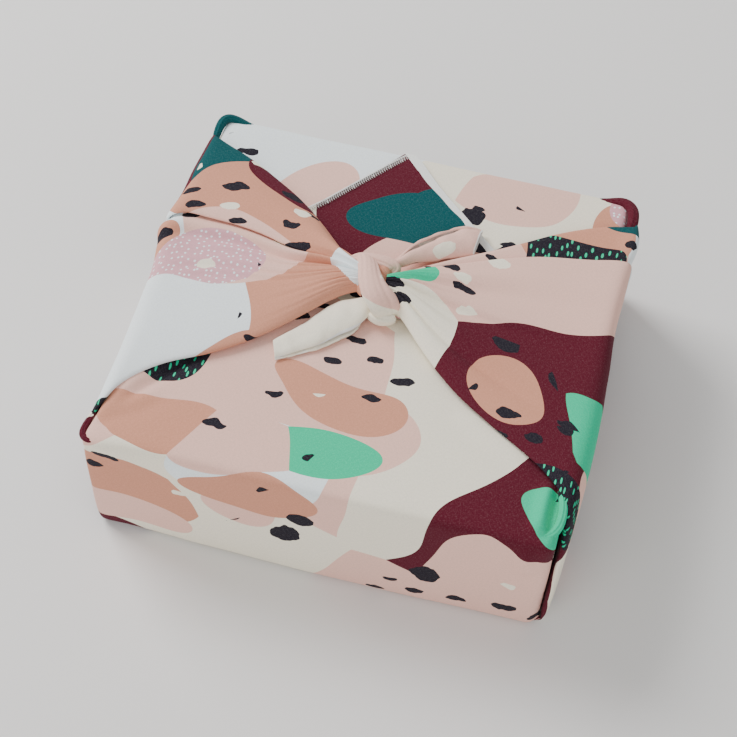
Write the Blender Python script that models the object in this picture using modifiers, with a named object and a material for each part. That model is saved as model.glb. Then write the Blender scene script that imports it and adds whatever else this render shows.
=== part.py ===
"""A furoshiki wrap: one square cotton cloth folded and knotted round a plain gift box.

The cloth is one solid. It is a thin sheet that runs under the box, up its four walls with a
pleat at each corner, over the top as a back flap, a front flap on it and two gathered wings,
and ends in the knot and its two tails. The box that gives the wrap its form is the other node.

Sizes in this file are in millimetres and are scaled to metres when a mesh is made.
X runs right along the front, Y runs back, Z up; the origin is the middle of the underside.
"""

import math

import bmesh
import bpy
from mathutils import Vector

MM = 0.001

# Driving sizes
BOX_X, BOX_Y, BOX_Z = 274.0, 263.0, 88.0
BOX_BEVEL = 5.0
CLOTH = 1.2  # thickness of the sheet
CLEAR = 0.3  # least gap between cloth and box
LAYER_GAP = 0.5  # gap between two layers that lie on each other

# Middle of the sheet, worked out from the driving sizes
PITCH = CLOTH + LAYER_GAP
SIDE = BOX_X / 2 + CLEAR + CLOTH / 2
FRONT = BOX_Y / 2 + CLEAR + CLOTH / 2
FLOOR = CLOTH / 2
BOX_FOOT = CLOTH + CLEAR
BACK_FLAP_Z = BOX_FOOT + BOX_Z + CLEAR + CLOTH / 2
FRONT_FLAP_Z = BACK_FLAP_Z + PITCH
RIM_Z = 80.0  # where the walls end and the flaps and wings begin

CORNER = 3.4  # radius of the upright corners
BASE_RINGS = ((FLOOR, 3.4, 4.6), (2.4, 1.0, 3.8))  # height, inset, corner radius
WALL_ROWS = (7.0, 24.0, 48.0, 68.0, RIM_Z)
LEAST_SHARE = 0.008  # least spacing of a side's columns at the base, as a share of its length
PLEAT_START = 4.0  # the pleat's layers begin this far above the lowest wall row

WALL_PANELS = (-101.0, -67.0, -34.0, 0.0, 34.0, 67.0, 101.0)

# One row for each section of a side, from the bottom of its wall over the rim to the knot.
# fx, fy, fz is the middle of the front fold edge and bx, by, bz that of the back fold edge.
# tilt turns the outward direction from level (0) to straight up (90). bow pushes the middle
# of the section towards the knot, crown lifts it off the straight line between the edges,
# ruck is the depth of the gathers, bulge a loose swelling on the rim, half the half height
# of the fold edges, and hem_f and hem_b are how far the cloth is turned under.
LEFT_FIELDS = "fx fy fz bx by bz tilt bow crown ruck bulge half hem_f hem_b"
LEFT_ROWS = (
    (-140.8, -130.9, 7.0, -140.8, 130.9, 7.0, 0, 0, 0.5, 0, 0, 0.85, 5, 5),
    (-141.1, -131.2, 24.0, -141.1, 131.2, 24.0, 0, 0, 1.0, 0, 0, 0.85, 14, 14),
    (-141.3, -131.4, 48.0, -141.3, 131.4, 48.0, 0, 0, 1.2, 0, 0.5, 0.85, 26, 26),
    (-141.4, -131.6, 68.0, -141.4, 131.6, 68.0, 0, 0, 1.2, 0, 3.0, 0.85, 34, 34),
    (-141.5, -131.6, RIM_Z, -141.5, 131.8, RIM_Z, 0, 0, 1.2, 0, 6.0, 0.85, 38, 38),
    (-141.6, -131.2, 88.2, -141.5, 131.9, 90.0, 22, 0, 1.5, 0.3, 8.0, 1.20, 36, 34),
    (-141.0, -125.5, 91.5, -141.4, 129.6, 92.9, 40, 0, 1.6, 0.4, 7.5, 1.30, 33, 31),
    (-139.8, -117.5, 93.9, -140.6, 123.5, 95.0, 62, 1, 1.8, 0.6, 6.0, 1.30, 30, 28),
    (-136.6, -105.0, 95.0, -137.4, 115.5, 95.5, 86, 3, 1.8, 0.8, 2.5, 1.15, 27, 25),
    (-132.8, -95.5, 95.2, -131.0, 108.5, 95.5, 90, 5, 1.6, 1.0, 0, 1.15, 25, 25),
    (-125.0, -85.5, 95.3, -114.5, 101.0, 95.4, 90, 4, 1.6, 1.2, 0, 1.20, 23, 22),
    (-108.5, -71.5, 95.5, -100.0, 93.5, 95.4, 90, 2, 1.6, 1.5, 0, 1.30, 20, 20),
    (-92.0, -63.5, 95.6, -86.5, 85.0, 95.5, 90, 0, 1.7, 1.8, 0, 1.40, 18, 18),
    (-78.5, -54.5, 95.8, -73.0, 77.0, 95.7, 90, 0, 1.9, 2.1, 0, 1.50, 16, 16),
    (-63.5, -43.5, 96.5, -58.5, 66.0, 96.3, 90, 0, 2.4, 2.4, 0, 1.65, 14, 14),
    (-46.5, -26.5, 98.0, -42.0, 49.0, 97.8, 90, 0, 3.4, 2.5, 0, 1.80, 10, 10),
    (-31.0, -9.5, 99.8, -29.0, 35.0, 99.8, 90, 0, 4.4, 2.2, 0, 1.90, 7, 7),
    (-20.0, 1.5, 101.2, -19.0, 26.0, 101.2, 90, 0, 4.8, 1.6, 0, 1.90, 5, 5),
    (-10.0, 7.0, 101.8, -10.0, 21.0, 101.8, 90, 0, 3.0, 0.8, 0, 1.80, 3, 3),
)
LEFT_STATIONS = (0.10, 0.22, 0.34, 0.46, 0.56, 0.62, 0.68, 0.74, 0.81, 0.90)
LEFT_GATHERS = (0.0, 0.5, -0.2, 0.3, -0.6, 0.5, -0.9, 1.0, -0.6, 0.2)
LEFT_BULGE_Y, LEFT_BULGE_REACH = 33.0, 22.0

# The right side has a step besides: past it, the cloth is folded back under itself and out
# again as a lower layer. step is its place along the section and lap how far it folds back.
RIGHT_FIELDS = LEFT_FIELDS + " step lap"
RIGHT_ROWS = (
    (140.8, -130.9, 7.0, 140.8, 130.9, 7.0, 0, 0, 0.8, 0, 0, 0.85, 5, 5, 0.79, -8.0),
    (141.5, -131.0, 24.0, 141.1, 131.2, 24.0, 0, 0, 1.8, 0, 0, 0.85, 13, 14, 0.79, -8.0),
    (142.0, -130.0, 48.0, 141.3, 131.4, 48.0, 0, 0, 2.6, 0, 0, 0.85, 22, 26, 0.79, -8.0),
    (142.2, -125.5, 68.0, 141.5, 131.5, 68.0, 0, 0, 3.0, 0, 1.0, 0.85, 28, 34, 0.79, -8.0),
    (142.2, -119.5, RIM_Z, 141.8, 131.6, RIM_Z, 0, 0, 3.4, 0, 3.0, 0.85, 28, 38, 0.79, 7.0),
    (141.4, -112.5, 87.6, 142.4, 131.4, 89.5, 20, 0, 3.4, 0.3, 5.0, 1.20, 27, 34, 0.80, 8.0),
    (141.0, -109.5, 90.4, 143.4, 129.3, 92.6, 38, 0, 3.4, 0.4, 5.5, 1.30, 26, 31, 0.80, 8.0),
    (139.6, -105.0, 93.0, 143.4, 123.0, 94.8, 62, 1, 3.0, 0.5, 5.0, 1.35, 26, 28, 0.81, 7.5),
    (136.2, -99.0, 95.0, 142.2, 113.5, 95.2, 85, 2, 2.4, 0.6, 2.5, 1.20, 25, 25, 0.83, 8.0),
    (130.0, -92.5, 95.3, 136.0, 107.8, 95.3, 90, 2, 2.0, 0.8, 0, 1.15, 24, 25, 0.84, 11.0),
    (122.0, -86.0, 95.4, 124.0, 104.5, 95.3, 90, 1, 1.6, 1.0, 0, 1.20, 22, 22, 0.83, 12.0),
    (111.5, -78.5, 95.5, 108.0, 97.5, 95.3, 90, 0, 1.4, 1.2, 0, 1.25, 20, 20, 0.84, 12.0),
    (95.0, -69.0, 95.6, 92.0, 88.0, 95.4, 90, 0, 1.4, 1.4, 0, 1.30, 18, 18, 0.86, 12.0),
    (79.0, -59.5, 95.8, 76.0, 75.5, 95.6, 90, 0, 1.5, 1.7, 0, 1.40, 16, 13, 0.89, 11.0),
    (64.5, -50.0, 96.1, 62.0, 66.0, 95.9, 90, 0, 1.8, 2.0, 0, 1.50, 14, 11, 0.90, 10.0),
    (50.0, -38.5, 96.9, 47.5, 56.5, 96.7, 90, 0, 2.4, 2.2, 0, 1.65, 11, 8, 0.90, 8.0),
    (34.5, -24.0, 98.3, 32.5, 46.5, 98.2, 90, 0, 3.4, 2.3, 0, 1.80, 8, 6, 0.90, 6.0),
    (21.5, -9.5, 99.8, 20.0, 36.5, 99.8, 90, 0, 4.6, 1.9, 0, 1.90, 6, 5, 0.90, 4.5),
    (13.0, -1.5, 101.0, 11.0, 28.5, 101.0, 90, 0, 5.0, 1.4, 0, 1.90, 4, 4, 0.90, 3.5),
    (4.0, 5.0, 101.8, 3.0, 21.0, 101.8, 90, 0, 3.0, 0.6, 0, 1.80, 3, 3, 0.90, 2.0),
)
RIGHT_STATIONS = (0.12, 0.25, 0.38, 0.51, 0.63, 0.74, 0.85, 0.94)
RIGHT_GATHERS = (0.2, -0.3, 0.5, -0.6, 0.9, -0.7, 0.8, -0.2)
RIGHT_BULGE_Y, RIGHT_BULGE_REACH = 93.0, 15.0
STEP_RISE = 2.0  # from layer to layer of the step
STEP_FULL_Z = 68.0  # the step has its full rise from this height up

# A flap over the rim of its wall: how far the row lies back from the wall and below the top,
# and the same for the shoulder and the hem of its turned-down sides.
RIM_FIELDS = "back drop shoulder shoulder_back hem_back"
RIM_ROWS = (
    (0.1, 4.2, 0.8, 2.2, 6.4),
    (1.9, 1.2, 1.1, 3.9, 7.9),
    (5.6, 0.0, 1.4, 8.8, 10.4),
)
FLAP_INNER = 4.2  # where the top begins to turn down, from the side
# Where the turned-down sides run out, towards the slanting edges.
FADE_FIELDS = "y shoulder shoulder_drop hem_in hem_drop"
FLAP_FADE_ROWS = (
    (15.0, 1.5, 1.0, 0.1, 3.6),
    (8.0, 2.9, 0.2, 0.9, 0.6),
)
# Sections of the flaps past their rim: y and the two x of their edges where they narrow.
FLAP_FULL_ROWS = (98.0, 72.0, 48.0, 26.0)
FLAP_FIELDS = "y left right z"
FRONT_FLAP_ROWS = (
    (-3.0, -131.0, 130.0, FRONT_FLAP_Z),
    (12.0, -119.5, 117.5, FRONT_FLAP_Z),
    (36.0, -94.5, 93.0, FRONT_FLAP_Z),
    (58.0, -72.0, 71.5, FRONT_FLAP_Z),
    (79.0, -53.5, 49.5, FRONT_FLAP_Z),
    (96.0, -40.5, 31.5, FRONT_FLAP_Z),
    (109.0, -30.5, 16.5, FRONT_FLAP_Z),
    (120.0, -22.0, 5.5, FRONT_FLAP_Z),
    (127.5, -16.0, -2.0, FRONT_FLAP_Z - 0.1),
    (131.8, -12.6, -8.4, FRONT_FLAP_Z - 0.6),
)
BACK_FLAP_ROWS = (
    (3.0, -130.0, 130.0, BACK_FLAP_Z),
    (-14.0, -116.0, 116.0, BACK_FLAP_Z),
    (-42.0, -91.0, 91.0, BACK_FLAP_Z),
    (-72.0, -62.0, 62.0, BACK_FLAP_Z),
    (-102.0, -33.0, 33.0, BACK_FLAP_Z),
    (-124.0, -11.0, 11.0, BACK_FLAP_Z),
)
VALANCE_Z = 84.8  # the flaps' sides are turned down over the rim to here

# The knot: strands lofted along their path. across is the heading of the width, in degrees.
STRAND_FIELDS = "x y z width thick across"
KNOT_BAND = (
    (-7.0, 28.0, 99.0, 13, 5.0, 26),
    (-9.5, 31.8, 104.0, 15, 5.0, 24),
    (-9.5, 27.5, 109.0, 16, 5.5, 22),
    (-7.0, 19.5, 111.5, 17, 6.0, 22),
    (-4.0, 11.5, 112.0, 18, 6.0, 20),
    (-0.5, 4.0, 110.0, 21, 6.0, 12),
    (2.0, -1.5, 106.0, 24, 5.5, 2),
    (3.0, -4.0, 101.0, 23, 5.0, -4),
    (2.0, -2.0, 97.5, 19, 4.5, -4),
)
KNOT_BACK_STRAND = (
    (-27.0, 26.0, 101.0, 8, 6.0, 110),
    (-20.0, 31.0, 102.5, 9, 7.5, 100),
    (-9.0, 34.5, 103.5, 10, 8.5, 92),
    (2.0, 34.5, 103.5, 10, 8.5, 95),
    (10.0, 37.0, 102.0, 10, 8.0, 130),
)
KNOT_FRONT_STRAND = (
    (22.0, -3.0, 99.0, 8, 6.0, 80),
    (14.0, -6.5, 98.2, 9, 7.0, 86),
    (5.0, -8.0, 97.8, 10, 7.5, 92),
    (-5.0, -6.0, 98.0, 10, 7.5, 105),
    (-13.0, -3.0, 98.4, 11, 6.5, 120),
)
STRAND_SIDES = 10
CORE_MIDDLE, CORE_RADII = (-3.0, 13.5, 102.0), (21.0, 14.5, 7.5)

# The tails: a strip folded along one edge; half is half the space between its two layers.
TAIL_FIELDS = "x y z width half across"
FRONT_TAIL = (
    (-2.0, -2.0, 98.5, 12.0, 2.0, -25),
    (-12.0, -6.0, 98.0, 15.0, 2.2, -32),
    (-19.0, -14.5, 96.6, 16.5, 2.2, -42),
    (-28.0, -24.0, 95.8, 17.0, 1.9, -50),
    (-37.5, -32.5, 95.4, 16.0, 1.6, -55),
    (-45.5, -39.5, 95.1, 14.5, 1.4, -62),
    (-50.5, -44.0, 95.0, 12.0, 1.3, -66),
)
BACK_TAIL = (
    (2.0, 30.0, 102.5, 11.0, 2.0, 140),
    (12.0, 41.0, 101.5, 12.0, 2.6, 136),
    (21.0, 49.0, 100.0, 14.0, 3.2, 132),
    (30.0, 55.5, 98.8, 16.5, 3.5, 126),
    (39.0, 61.0, 98.2, 17.0, 3.3, 122),
    (46.5, 66.0, 97.8, 13.0, 2.6, 118),
)
TAIL_TURN = 0.35  # share of a tail's width that its lower layer leaves open


class Row:
    """One row of a table, with its columns as named values."""

    def __init__(self, fields, values):
        for name, value in zip(fields.split(), values, strict=True):
            setattr(self, name, value)


def rows_of(fields, table):
    return [Row(fields, values) for values in table]


def between(a, b, share):
    return a + (b - a) * share


class Surface:
    """Collects an open surface from grids of points; points that coincide are one."""

    def __init__(self):
        self.points = []
        self.faces = []
        self.index = {}

    def at(self, point):
        key = tuple(round(value, 3) for value in point)
        if key not in self.index:
            self.index[key] = len(self.points)
            self.points.append(Vector(point) * MM)
        return self.index[key]

    def face(self, points):
        corners = []
        for point in points:
            found = self.at(point)
            if found not in corners:
                corners.append(found)
        if len(corners) > 2:
            self.faces.append(corners)

    def grid(self, rows):
        for low, high in zip(rows, rows[1:]):
            for i in range(len(low) - 1):
                self.face((low[i], low[i + 1], high[i + 1], high[i]))

    def mesh(self, name):
        mesh = bpy.data.meshes.new(name)
        mesh.from_pydata(self.points, [], self.faces)
        shape = bmesh.new()
        shape.from_mesh(mesh)
        bmesh.ops.recalc_face_normals(shape, faces=shape.faces)
        shape.to_mesh(mesh)
        shape.free()
        return mesh


# The sides and their wings


def section_frame(row, outward):
    """The outward direction of a side's section and the direction from front to back fold."""
    tilt = math.radians(row.tilt)
    out = Vector((outward * math.cos(tilt), 0, math.sin(tilt)))
    along = Vector((row.bx - row.fx, row.by - row.fy, row.bz - row.fz)).normalized()
    return out, along


def fold_edge(edge, inward, out, half, hem):
    """A turned-under edge: the end of the hem, its middle, and round to the upper layer."""
    reach = min(1.7 * half, 0.6 * hem)
    low = edge - out * half
    return [
        low + inward * hem,
        low + inward * (hem + reach) / 2,
        low + inward * reach,
        edge,
        edge + out * half + inward * reach,
    ]


def swelling(row, y, centre, reach):
    return row.bulge * math.exp(-(((y - centre) / reach) ** 2))


def lifted(row, share, start, end, out, gather, bulge_at, toward):
    """A point of the upper layer between its two ends."""
    point = start.lerp(end, share)
    arch = 1 - (2 * share - 1) ** 4
    push = row.bow * math.sin(math.pi * share)
    rise = row.crown * arch + row.ruck * gather + swelling(row, point.y, *bulge_at)
    return point + out * rise + Vector((toward * push, 0, 0))


def left_section(row):
    out, along = section_frame(row, -1)
    front = fold_edge(Vector((row.fx, row.fy, row.fz)), along, out, row.half, row.hem_f)
    back = fold_edge(Vector((row.bx, row.by, row.bz)), -along, out, row.half, row.hem_b)
    bulge_at = (LEFT_BULGE_Y, LEFT_BULGE_REACH)
    middle = [
        lifted(row, share, front[-1], back[-1], out, gather, bulge_at, 1)
        for share, gather in zip(LEFT_STATIONS, LEFT_GATHERS)
    ]
    return front + middle + back[::-1]


def right_section(row):
    out, along = section_frame(row, 1)
    front = fold_edge(Vector((row.fx, row.fy, row.fz)), along, out, row.half, row.hem_f)
    back = fold_edge(Vector((row.bx, row.by, row.bz)), -along, out, row.half, row.hem_b)
    bulge_at = (RIGHT_BULGE_Y, RIGHT_BULGE_REACH)
    rise = STEP_RISE * min(1.0, row.fz / STEP_FULL_Z)
    lower = front[-1].lerp(back[-1], row.step)
    lower += out * swelling(row, lower.y, *bulge_at)
    upper = lower + out * 2 * rise
    middle = [
        lifted(row, share, front[-1], upper, out, gather, bulge_at, -1)
        for share, gather in zip(RIGHT_STATIONS, RIGHT_GATHERS)
    ]
    turn = lower - along * (row.lap if row.lap > 0 else row.lap * 0.8)
    spread = max(0.0, -row.lap) / 4  # where there is no lap the columns lie side by side
    edge = upper - out * rise / 2 + along * (1.7 if row.lap > 0 else spread)
    under = lower + out * rise + along * 2 * spread
    step = [upper, edge, under, turn + out * rise * (1.0 if row.lap > 0 else 0.5)]
    room = (back[-1] - lower).length
    knee = lower + along * (min(2.5, 0.3 * room) if row.lap > 0 else 4.6 * spread)
    rest = [turn, knee]
    for share in (0.33, 0.66):
        point = knee.lerp(back[-1], share)
        swell = swelling(row, point.y, *bulge_at) - swelling(row, knee.y, *bulge_at) * (1 - share)
        rest.append(point + out * swell)
    return front + middle + step + rest + back[::-1]


# The walls


def corner_arc(x, y, inset, radius, count):
    """Points round a corner of the base, from the front or back wall to the side."""
    middle_x = abs(x) - inset - radius
    middle_y = abs(y) - inset - radius
    found = []
    for i in range(count):
        turn = math.pi / 2 * (1 - i / (count - 1))
        px = middle_x + radius * math.cos(turn)
        py = middle_y + radius * math.sin(turn)
        found.append((math.copysign(px, x), math.copysign(py, y)))
    return found


def wall_corner(sign_x, sign_y):
    """The three columns that round an upright corner from the front or back wall."""
    return corner_arc(sign_x * SIDE, sign_y * FRONT, 0, CORNER, 3)


def inner_layer(sign_x, sign_y, z, depth, lift=0.0):
    """The pleat's inner layer, from the upright corner back along the side."""
    x = sign_x * SIDE
    start = FRONT - CORNER
    return [
        Vector((x, sign_y * (start - depth / 2), z + lift)),
        Vector((x, sign_y * (start - depth), z + lift)),
    ]


def wall_columns(sign_y, z):
    """The front or back wall at one height, from its left corner to its right one."""
    left = [Vector((x, y, z)) for x, y in wall_corner(-1, sign_y)][::-1]
    right = [Vector((x, y, z)) for x, y in wall_corner(1, sign_y)]
    panels = [Vector((x, sign_y * FRONT, z)) for x in WALL_PANELS]
    return left + panels + right


def base_ring(z, inset, radius, sides):
    """The lowest rings: wall and side columns in one loop, with the corners drawn in."""
    walls = {}
    ends = {}
    for sign_y in (-1, 1):
        arcs = {}
        for sign_x in (-1, 1):
            arcs[sign_x] = corner_arc(sign_x * SIDE, sign_y * FRONT, inset, radius, 5)
            ends[sign_x, sign_y] = [Vector((x, y, z)) for x, y in arcs[sign_x][3:]]
        left = [Vector((x, y, z)) for x, y in arcs[-1][:3]][::-1]
        right = [Vector((x, y, z)) for x, y in arcs[1][:3]]
        panels = [Vector((x, sign_y * (FRONT - inset), z)) for x in WALL_PANELS]
        walls[sign_y] = left + panels + right
    found = {}
    for sign_x, section in sides.items():
        upper = section[3:-3]  # without the turned-under layers
        low, high = section[4].y, section[-5].y
        front, back = ends[sign_x, -1], ends[sign_x, 1]
        points = list(front)
        share = 0.0
        for point in upper[2:-2]:
            share = max(share + LEAST_SHARE, (point.y - low) / (high - low))
            points.append(front[1].lerp(back[1], share))
        found[sign_x] = points + back[::-1]
    return walls, found


def add_walls(cloth, sides):
    """Floor, walls and corner pleats. sides holds each side's sections up to the rim."""
    low_walls = {-1: [], 1: []}
    low_sides = {-1: [], 1: []}
    for z, inset, radius in BASE_RINGS:
        walls, found = base_ring(z, inset, radius, {x: sides[x][0] for x in (-1, 1)})
        for sign in (-1, 1):
            low_walls[sign].append(walls[sign])
            low_sides[sign].append(found[sign])
    loop = low_walls[-1][0] + low_sides[1][0] + low_walls[1][0][::-1] + low_sides[-1][0][::-1]
    cloth.face(loop)
    for sign_y in (-1, 1):
        rows = low_walls[sign_y] + [wall_columns(sign_y, z) for z in WALL_ROWS]
        cloth.grid(rows)
    for sign_x in (-1, 1):
        cloth.grid(low_sides[sign_x] + [sides[sign_x][0][3:-3]])
        cloth.grid([section[3:-3] for section in sides[sign_x]])
        for sign_y in (-1, 1):
            add_pleat(cloth, sign_x, sign_y, sides[sign_x], low_walls, low_sides)


def add_pleat(cloth, sign_x, sign_y, sections, low_walls, low_sides):
    """One corner: the bridge below the pleat and the layers that fold back behind the edge."""
    column = {-1: 0, 1: -1}[sign_x]
    side_end = {-1: 0, 1: -1}[sign_y]
    corners = [low_walls[sign_y][i][column] for i in range(len(BASE_RINGS))]
    edges = [low_sides[sign_x][i][side_end] for i in range(len(BASE_RINGS))]
    x, y = wall_corner(sign_x, sign_y)[-1]
    corners.append(Vector((x, y, WALL_ROWS[0])))
    first = sections[0] if sign_y < 0 else sections[0][::-1]
    edges.append(first[3])
    cloth.grid([[a, b] for a, b in zip(corners, edges)])
    rows = []
    for z, section in zip(WALL_ROWS, sections):
        ordered = section if sign_y < 0 else section[::-1]
        end, half, low, edge = ordered[:4]
        lift = Vector((0, 0, PLEAT_START if z == WALL_ROWS[0] else 0))
        depth = (FRONT - CORNER) - abs(end.y)
        inner = inner_layer(sign_x, sign_y, z, depth, lift.z)
        rows.append([Vector((x, y, z))] + inner + [end + lift, half + lift, low + lift, edge])
    cloth.grid(rows)
    close_corner(cloth, sign_x, sign_y, rows[-1][:3])


def close_corner(cloth, sign_x, sign_y, inner):
    """Joins the top of the pleat's inner layer to the flap's turned-down side."""
    top = {-1: FRONT_FLAP_Z, 1: BACK_FLAP_Z}[sign_y]
    column = {-1: 0, 1: -1}[sign_x]
    hems = [row[column] for row in full_flap_rows(sign_y, top)]
    near, far = hems[: len(RIM_ROWS)], hems[len(RIM_ROWS)]
    cloth.face([inner[0], inner[1]] + near[::-1])
    cloth.face([inner[1], inner[2], far, near[-1]])


# The flaps


def flap_rows(sign_y, top, narrowing):
    """A flap from the rim of its wall over the top: full width first, then narrowing.

    sign_y is the wall that it comes from. Its sides are turned down over the rim where it
    has its full width, so its last three columns each side change from valance to hem.
    """
    rows = [wall_columns(sign_y, RIM_Z)] + full_flap_rows(sign_y, top)
    for row in rows_of(FADE_FIELDS, FLAP_FADE_ROWS):
        y = sign_y * row.y
        hem = (SIDE - row.hem_in, y, top - row.hem_drop)
        rows.append(flap_row(y, top, hem, (SIDE - row.shoulder, y, top - row.shoulder_drop)))
    return rows + [narrow_row(row) for row in narrowing]


def full_flap_rows(sign_y, top):
    """The rows of a flap over the rim and as far as it has its full width."""
    rows = []
    for row in rows_of(RIM_FIELDS, RIM_ROWS):
        y = sign_y * (FRONT - row.back)
        hem = (SIDE, sign_y * (FRONT - row.hem_back), min(top - row.drop - 1.5, VALANCE_Z))
        shoulder = (SIDE - row.shoulder, sign_y * (FRONT - row.shoulder_back), top - row.drop - 1)
        rows.append(flap_row(y, top - row.drop, hem, shoulder))
    for distance in FLAP_FULL_ROWS:
        y = sign_y * distance
        rows.append(flap_row(y, top, (SIDE, y, VALANCE_Z), (SIDE - 1.4, y, top - 1.2)))
    return rows


def flap_row(y, z, hem, shoulder):
    right = [Vector((SIDE - FLAP_INNER, y, z)), Vector(shoulder), Vector(hem)]
    left = [Vector((-p.x, p.y, p.z)) for p in right[::-1]]
    return left + [Vector((x, y, z)) for x in WALL_PANELS] + right


def narrow_row(row):
    """A row between the slanting edges, with two columns each side close to the edge."""
    width = row.right - row.left
    margin = min(1.0, width / 40.0)
    insets = (0.0, 2.5 * margin, 6.0 * margin)
    first, last = row.left + 2 * insets[-1], row.right - 2 * insets[-1]
    panels = [
        between(first, last, i / (len(WALL_PANELS) - 1)) for i in range(len(WALL_PANELS))
    ]
    columns = [row.left + inset for inset in insets] + panels
    columns += [row.right - inset for inset in insets[::-1]]
    return [Vector((x, row.y, row.z)) for x in columns]


def cloth_sheet():
    cloth = Surface()
    left = [left_section(row) for row in rows_of(LEFT_FIELDS, LEFT_ROWS)]
    right = [right_section(row) for row in rows_of(RIGHT_FIELDS, RIGHT_ROWS)]
    walls = len(WALL_ROWS)
    add_walls(cloth, {-1: left[:walls], 1: right[:walls]})
    cloth.grid(left[walls - 1 :])
    cloth.grid(right[walls - 1 :])
    cloth.grid(flap_rows(-1, FRONT_FLAP_Z, rows_of(FLAP_FIELDS, FRONT_FLAP_ROWS)))
    cloth.grid(flap_rows(1, BACK_FLAP_Z, rows_of(FLAP_FIELDS, BACK_FLAP_ROWS)))
    return cloth


# The knot and its tails


def path_frames(rows):
    """Centre, width direction and thickness direction at each row of a strand or tail."""
    centres = [Vector((row.x, row.y, row.z)) for row in rows]
    frames = []
    for i, row in enumerate(rows):
        ahead = centres[min(i + 1, len(rows) - 1)] - centres[max(i - 1, 0)]
        turn = math.radians(row.across)
        across = Vector((math.cos(turn), math.sin(turn), 0))
        across = (across - ahead.normalized() * across.dot(ahead.normalized())).normalized()
        up = across.cross(ahead).normalized()
        frames.append((centres[i], across, up if up.z > 0 or i == 0 else up))
    return frames


def strand(name, table):
    rows = rows_of(STRAND_FIELDS, table)
    shape = Surface()
    rings = []
    for row, (centre, across, up) in zip(rows, path_frames(rows)):
        ring = []
        for i in range(STRAND_SIDES):
            turn = 2 * math.pi * i / STRAND_SIDES
            wide = across * math.cos(turn) * row.width / 2
            ring.append(centre + wide + up * math.sin(turn) * row.thick / 2)
        rings.append(ring)
    shape.grid([ring + ring[:1] for ring in rings])
    shape.face(rings[0])
    shape.face(rings[-1])
    return placed(name, shape.mesh(name))


def tail(name, table):
    rows = rows_of(TAIL_FIELDS, table)
    shape = Surface()
    sections = []
    for row, (centre, across, up) in zip(rows, path_frames(rows)):
        up = up if up.z > 0 else -up
        side = row.width / 2
        low = centre - up * row.half
        high = centre + up * row.half
        edge = centre + across * (side + row.half * 0.6)
        sections.append(
            [
                low - across * side * (1 - 2 * TAIL_TURN),
                low + across * side * 0.35,
                low + across * side,
                edge,
                high + across * side,
                high + across * side * 0.3 + up * 0.5,
                high - across * side * 0.35 + up * 0.4,
                high - across * side - up * 0.6 * row.half,
                centre - across * (side + 0.5) - up * 0.35 * row.half,
            ]
        )
    shape.grid(sections)
    made = placed(name, shape.mesh(name))
    thicken(made)
    return made


def core(name):
    shape = bmesh.new()
    bmesh.ops.create_uvsphere(shape, u_segments=14, v_segments=9, radius=1.0)
    for vertex in shape.verts:
        vertex.co = Vector(c + r * p for c, r, p in zip(CORE_MIDDLE, CORE_RADII, vertex.co)) * MM
    mesh = bpy.data.meshes.new(name)
    shape.to_mesh(mesh)
    shape.free()
    return placed(name, mesh)


# Objects


def placed(name, mesh):
    made = bpy.data.objects.new(name, mesh)
    bpy.context.scene.collection.objects.link(made)
    return made


def thicken(made):
    solid = made.modifiers.new("thickness", "SOLIDIFY")
    solid.thickness = CLOTH * MM
    solid.offset = 0.0
    solid.use_even_offset = True


def material(name, colour, roughness):
    made = bpy.data.materials.new(name)
    made.use_nodes = True
    shader = made.node_tree.nodes["Principled BSDF"]
    shader.inputs["Base Color"].default_value = (*colour, 1.0)
    shader.inputs["Roughness"].default_value = roughness
    shader.inputs["Metallic"].default_value = 0.0
    return made


def into(collection, made):
    for other in list(made.users_collection):
        other.objects.unlink(made)
    collection.objects.link(made)


def gift_box():
    bpy.ops.mesh.primitive_cube_add(size=1.0)
    made = bpy.context.object
    made.name = "gift_box"
    for vertex in made.data.vertices:
        vertex.co.x *= BOX_X * MM
        vertex.co.y *= BOX_Y * MM
        vertex.co.z *= BOX_Z * MM
    made.location.z = (BOX_FOOT + BOX_Z / 2) * MM
    bevel = made.modifiers.new("edges", "BEVEL")
    bevel.width = BOX_BEVEL * MM
    bevel.segments = 3
    made.data.materials.append(material("box_card", (0.62, 0.50, 0.36), 0.8))
    return made


def furoshiki_cloth(joined):
    made = placed("furoshiki_cloth", cloth_sheet().mesh("furoshiki_cloth"))
    thicken(made)
    pieces = (
        core("knot_core"),
        strand("knot_band", KNOT_BAND),
        strand("knot_back_strand", KNOT_BACK_STRAND),
        strand("knot_front_strand", KNOT_FRONT_STRAND),
        tail("front_tail", FRONT_TAIL),
        tail("back_tail", BACK_TAIL),
    )
    for piece in pieces:
        union = made.modifiers.new("join " + piece.name, "BOOLEAN")
        union.operation = "UNION"
        union.solver = "EXACT"
        union.object = piece
        piece.hide_render = True
        piece.display_type = "WIRE"
        into(joined, piece)
    made.data.materials.append(material("printed_cotton", (0.80, 0.62, 0.52), 0.9))
    return made


def main():
    for old in list(bpy.data.objects):
        bpy.data.objects.remove(old)
    wrap = bpy.data.collections.new("furoshiki_wrap")
    joined = bpy.data.collections.new("joined_shapes")
    bpy.context.scene.collection.children.link(wrap)
    bpy.context.scene.collection.children.link(joined)
    into(wrap, gift_box())
    into(wrap, furoshiki_cloth(joined))


main()
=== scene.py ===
"""Furoshiki wrap: a square of printed cotton folded over a gift box and knotted on top.

The frame gives the box and the room that the cloth takes. This script makes the cloth as it is
seen: the folded sheet with its flaps, wings and corner pleats, the knot, its two tails and the
overlocked edges, and the stage. Lengths in the tables are in millimetres; MM scales them.
X runs right along the front, Y runs back, Z up; the origin is the middle of the underside.
"""

import itertools
import math
from dataclasses import dataclass
from types import SimpleNamespace

import bmesh
import bpy
import numpy as np
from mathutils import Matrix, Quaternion, Vector, noise


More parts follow.
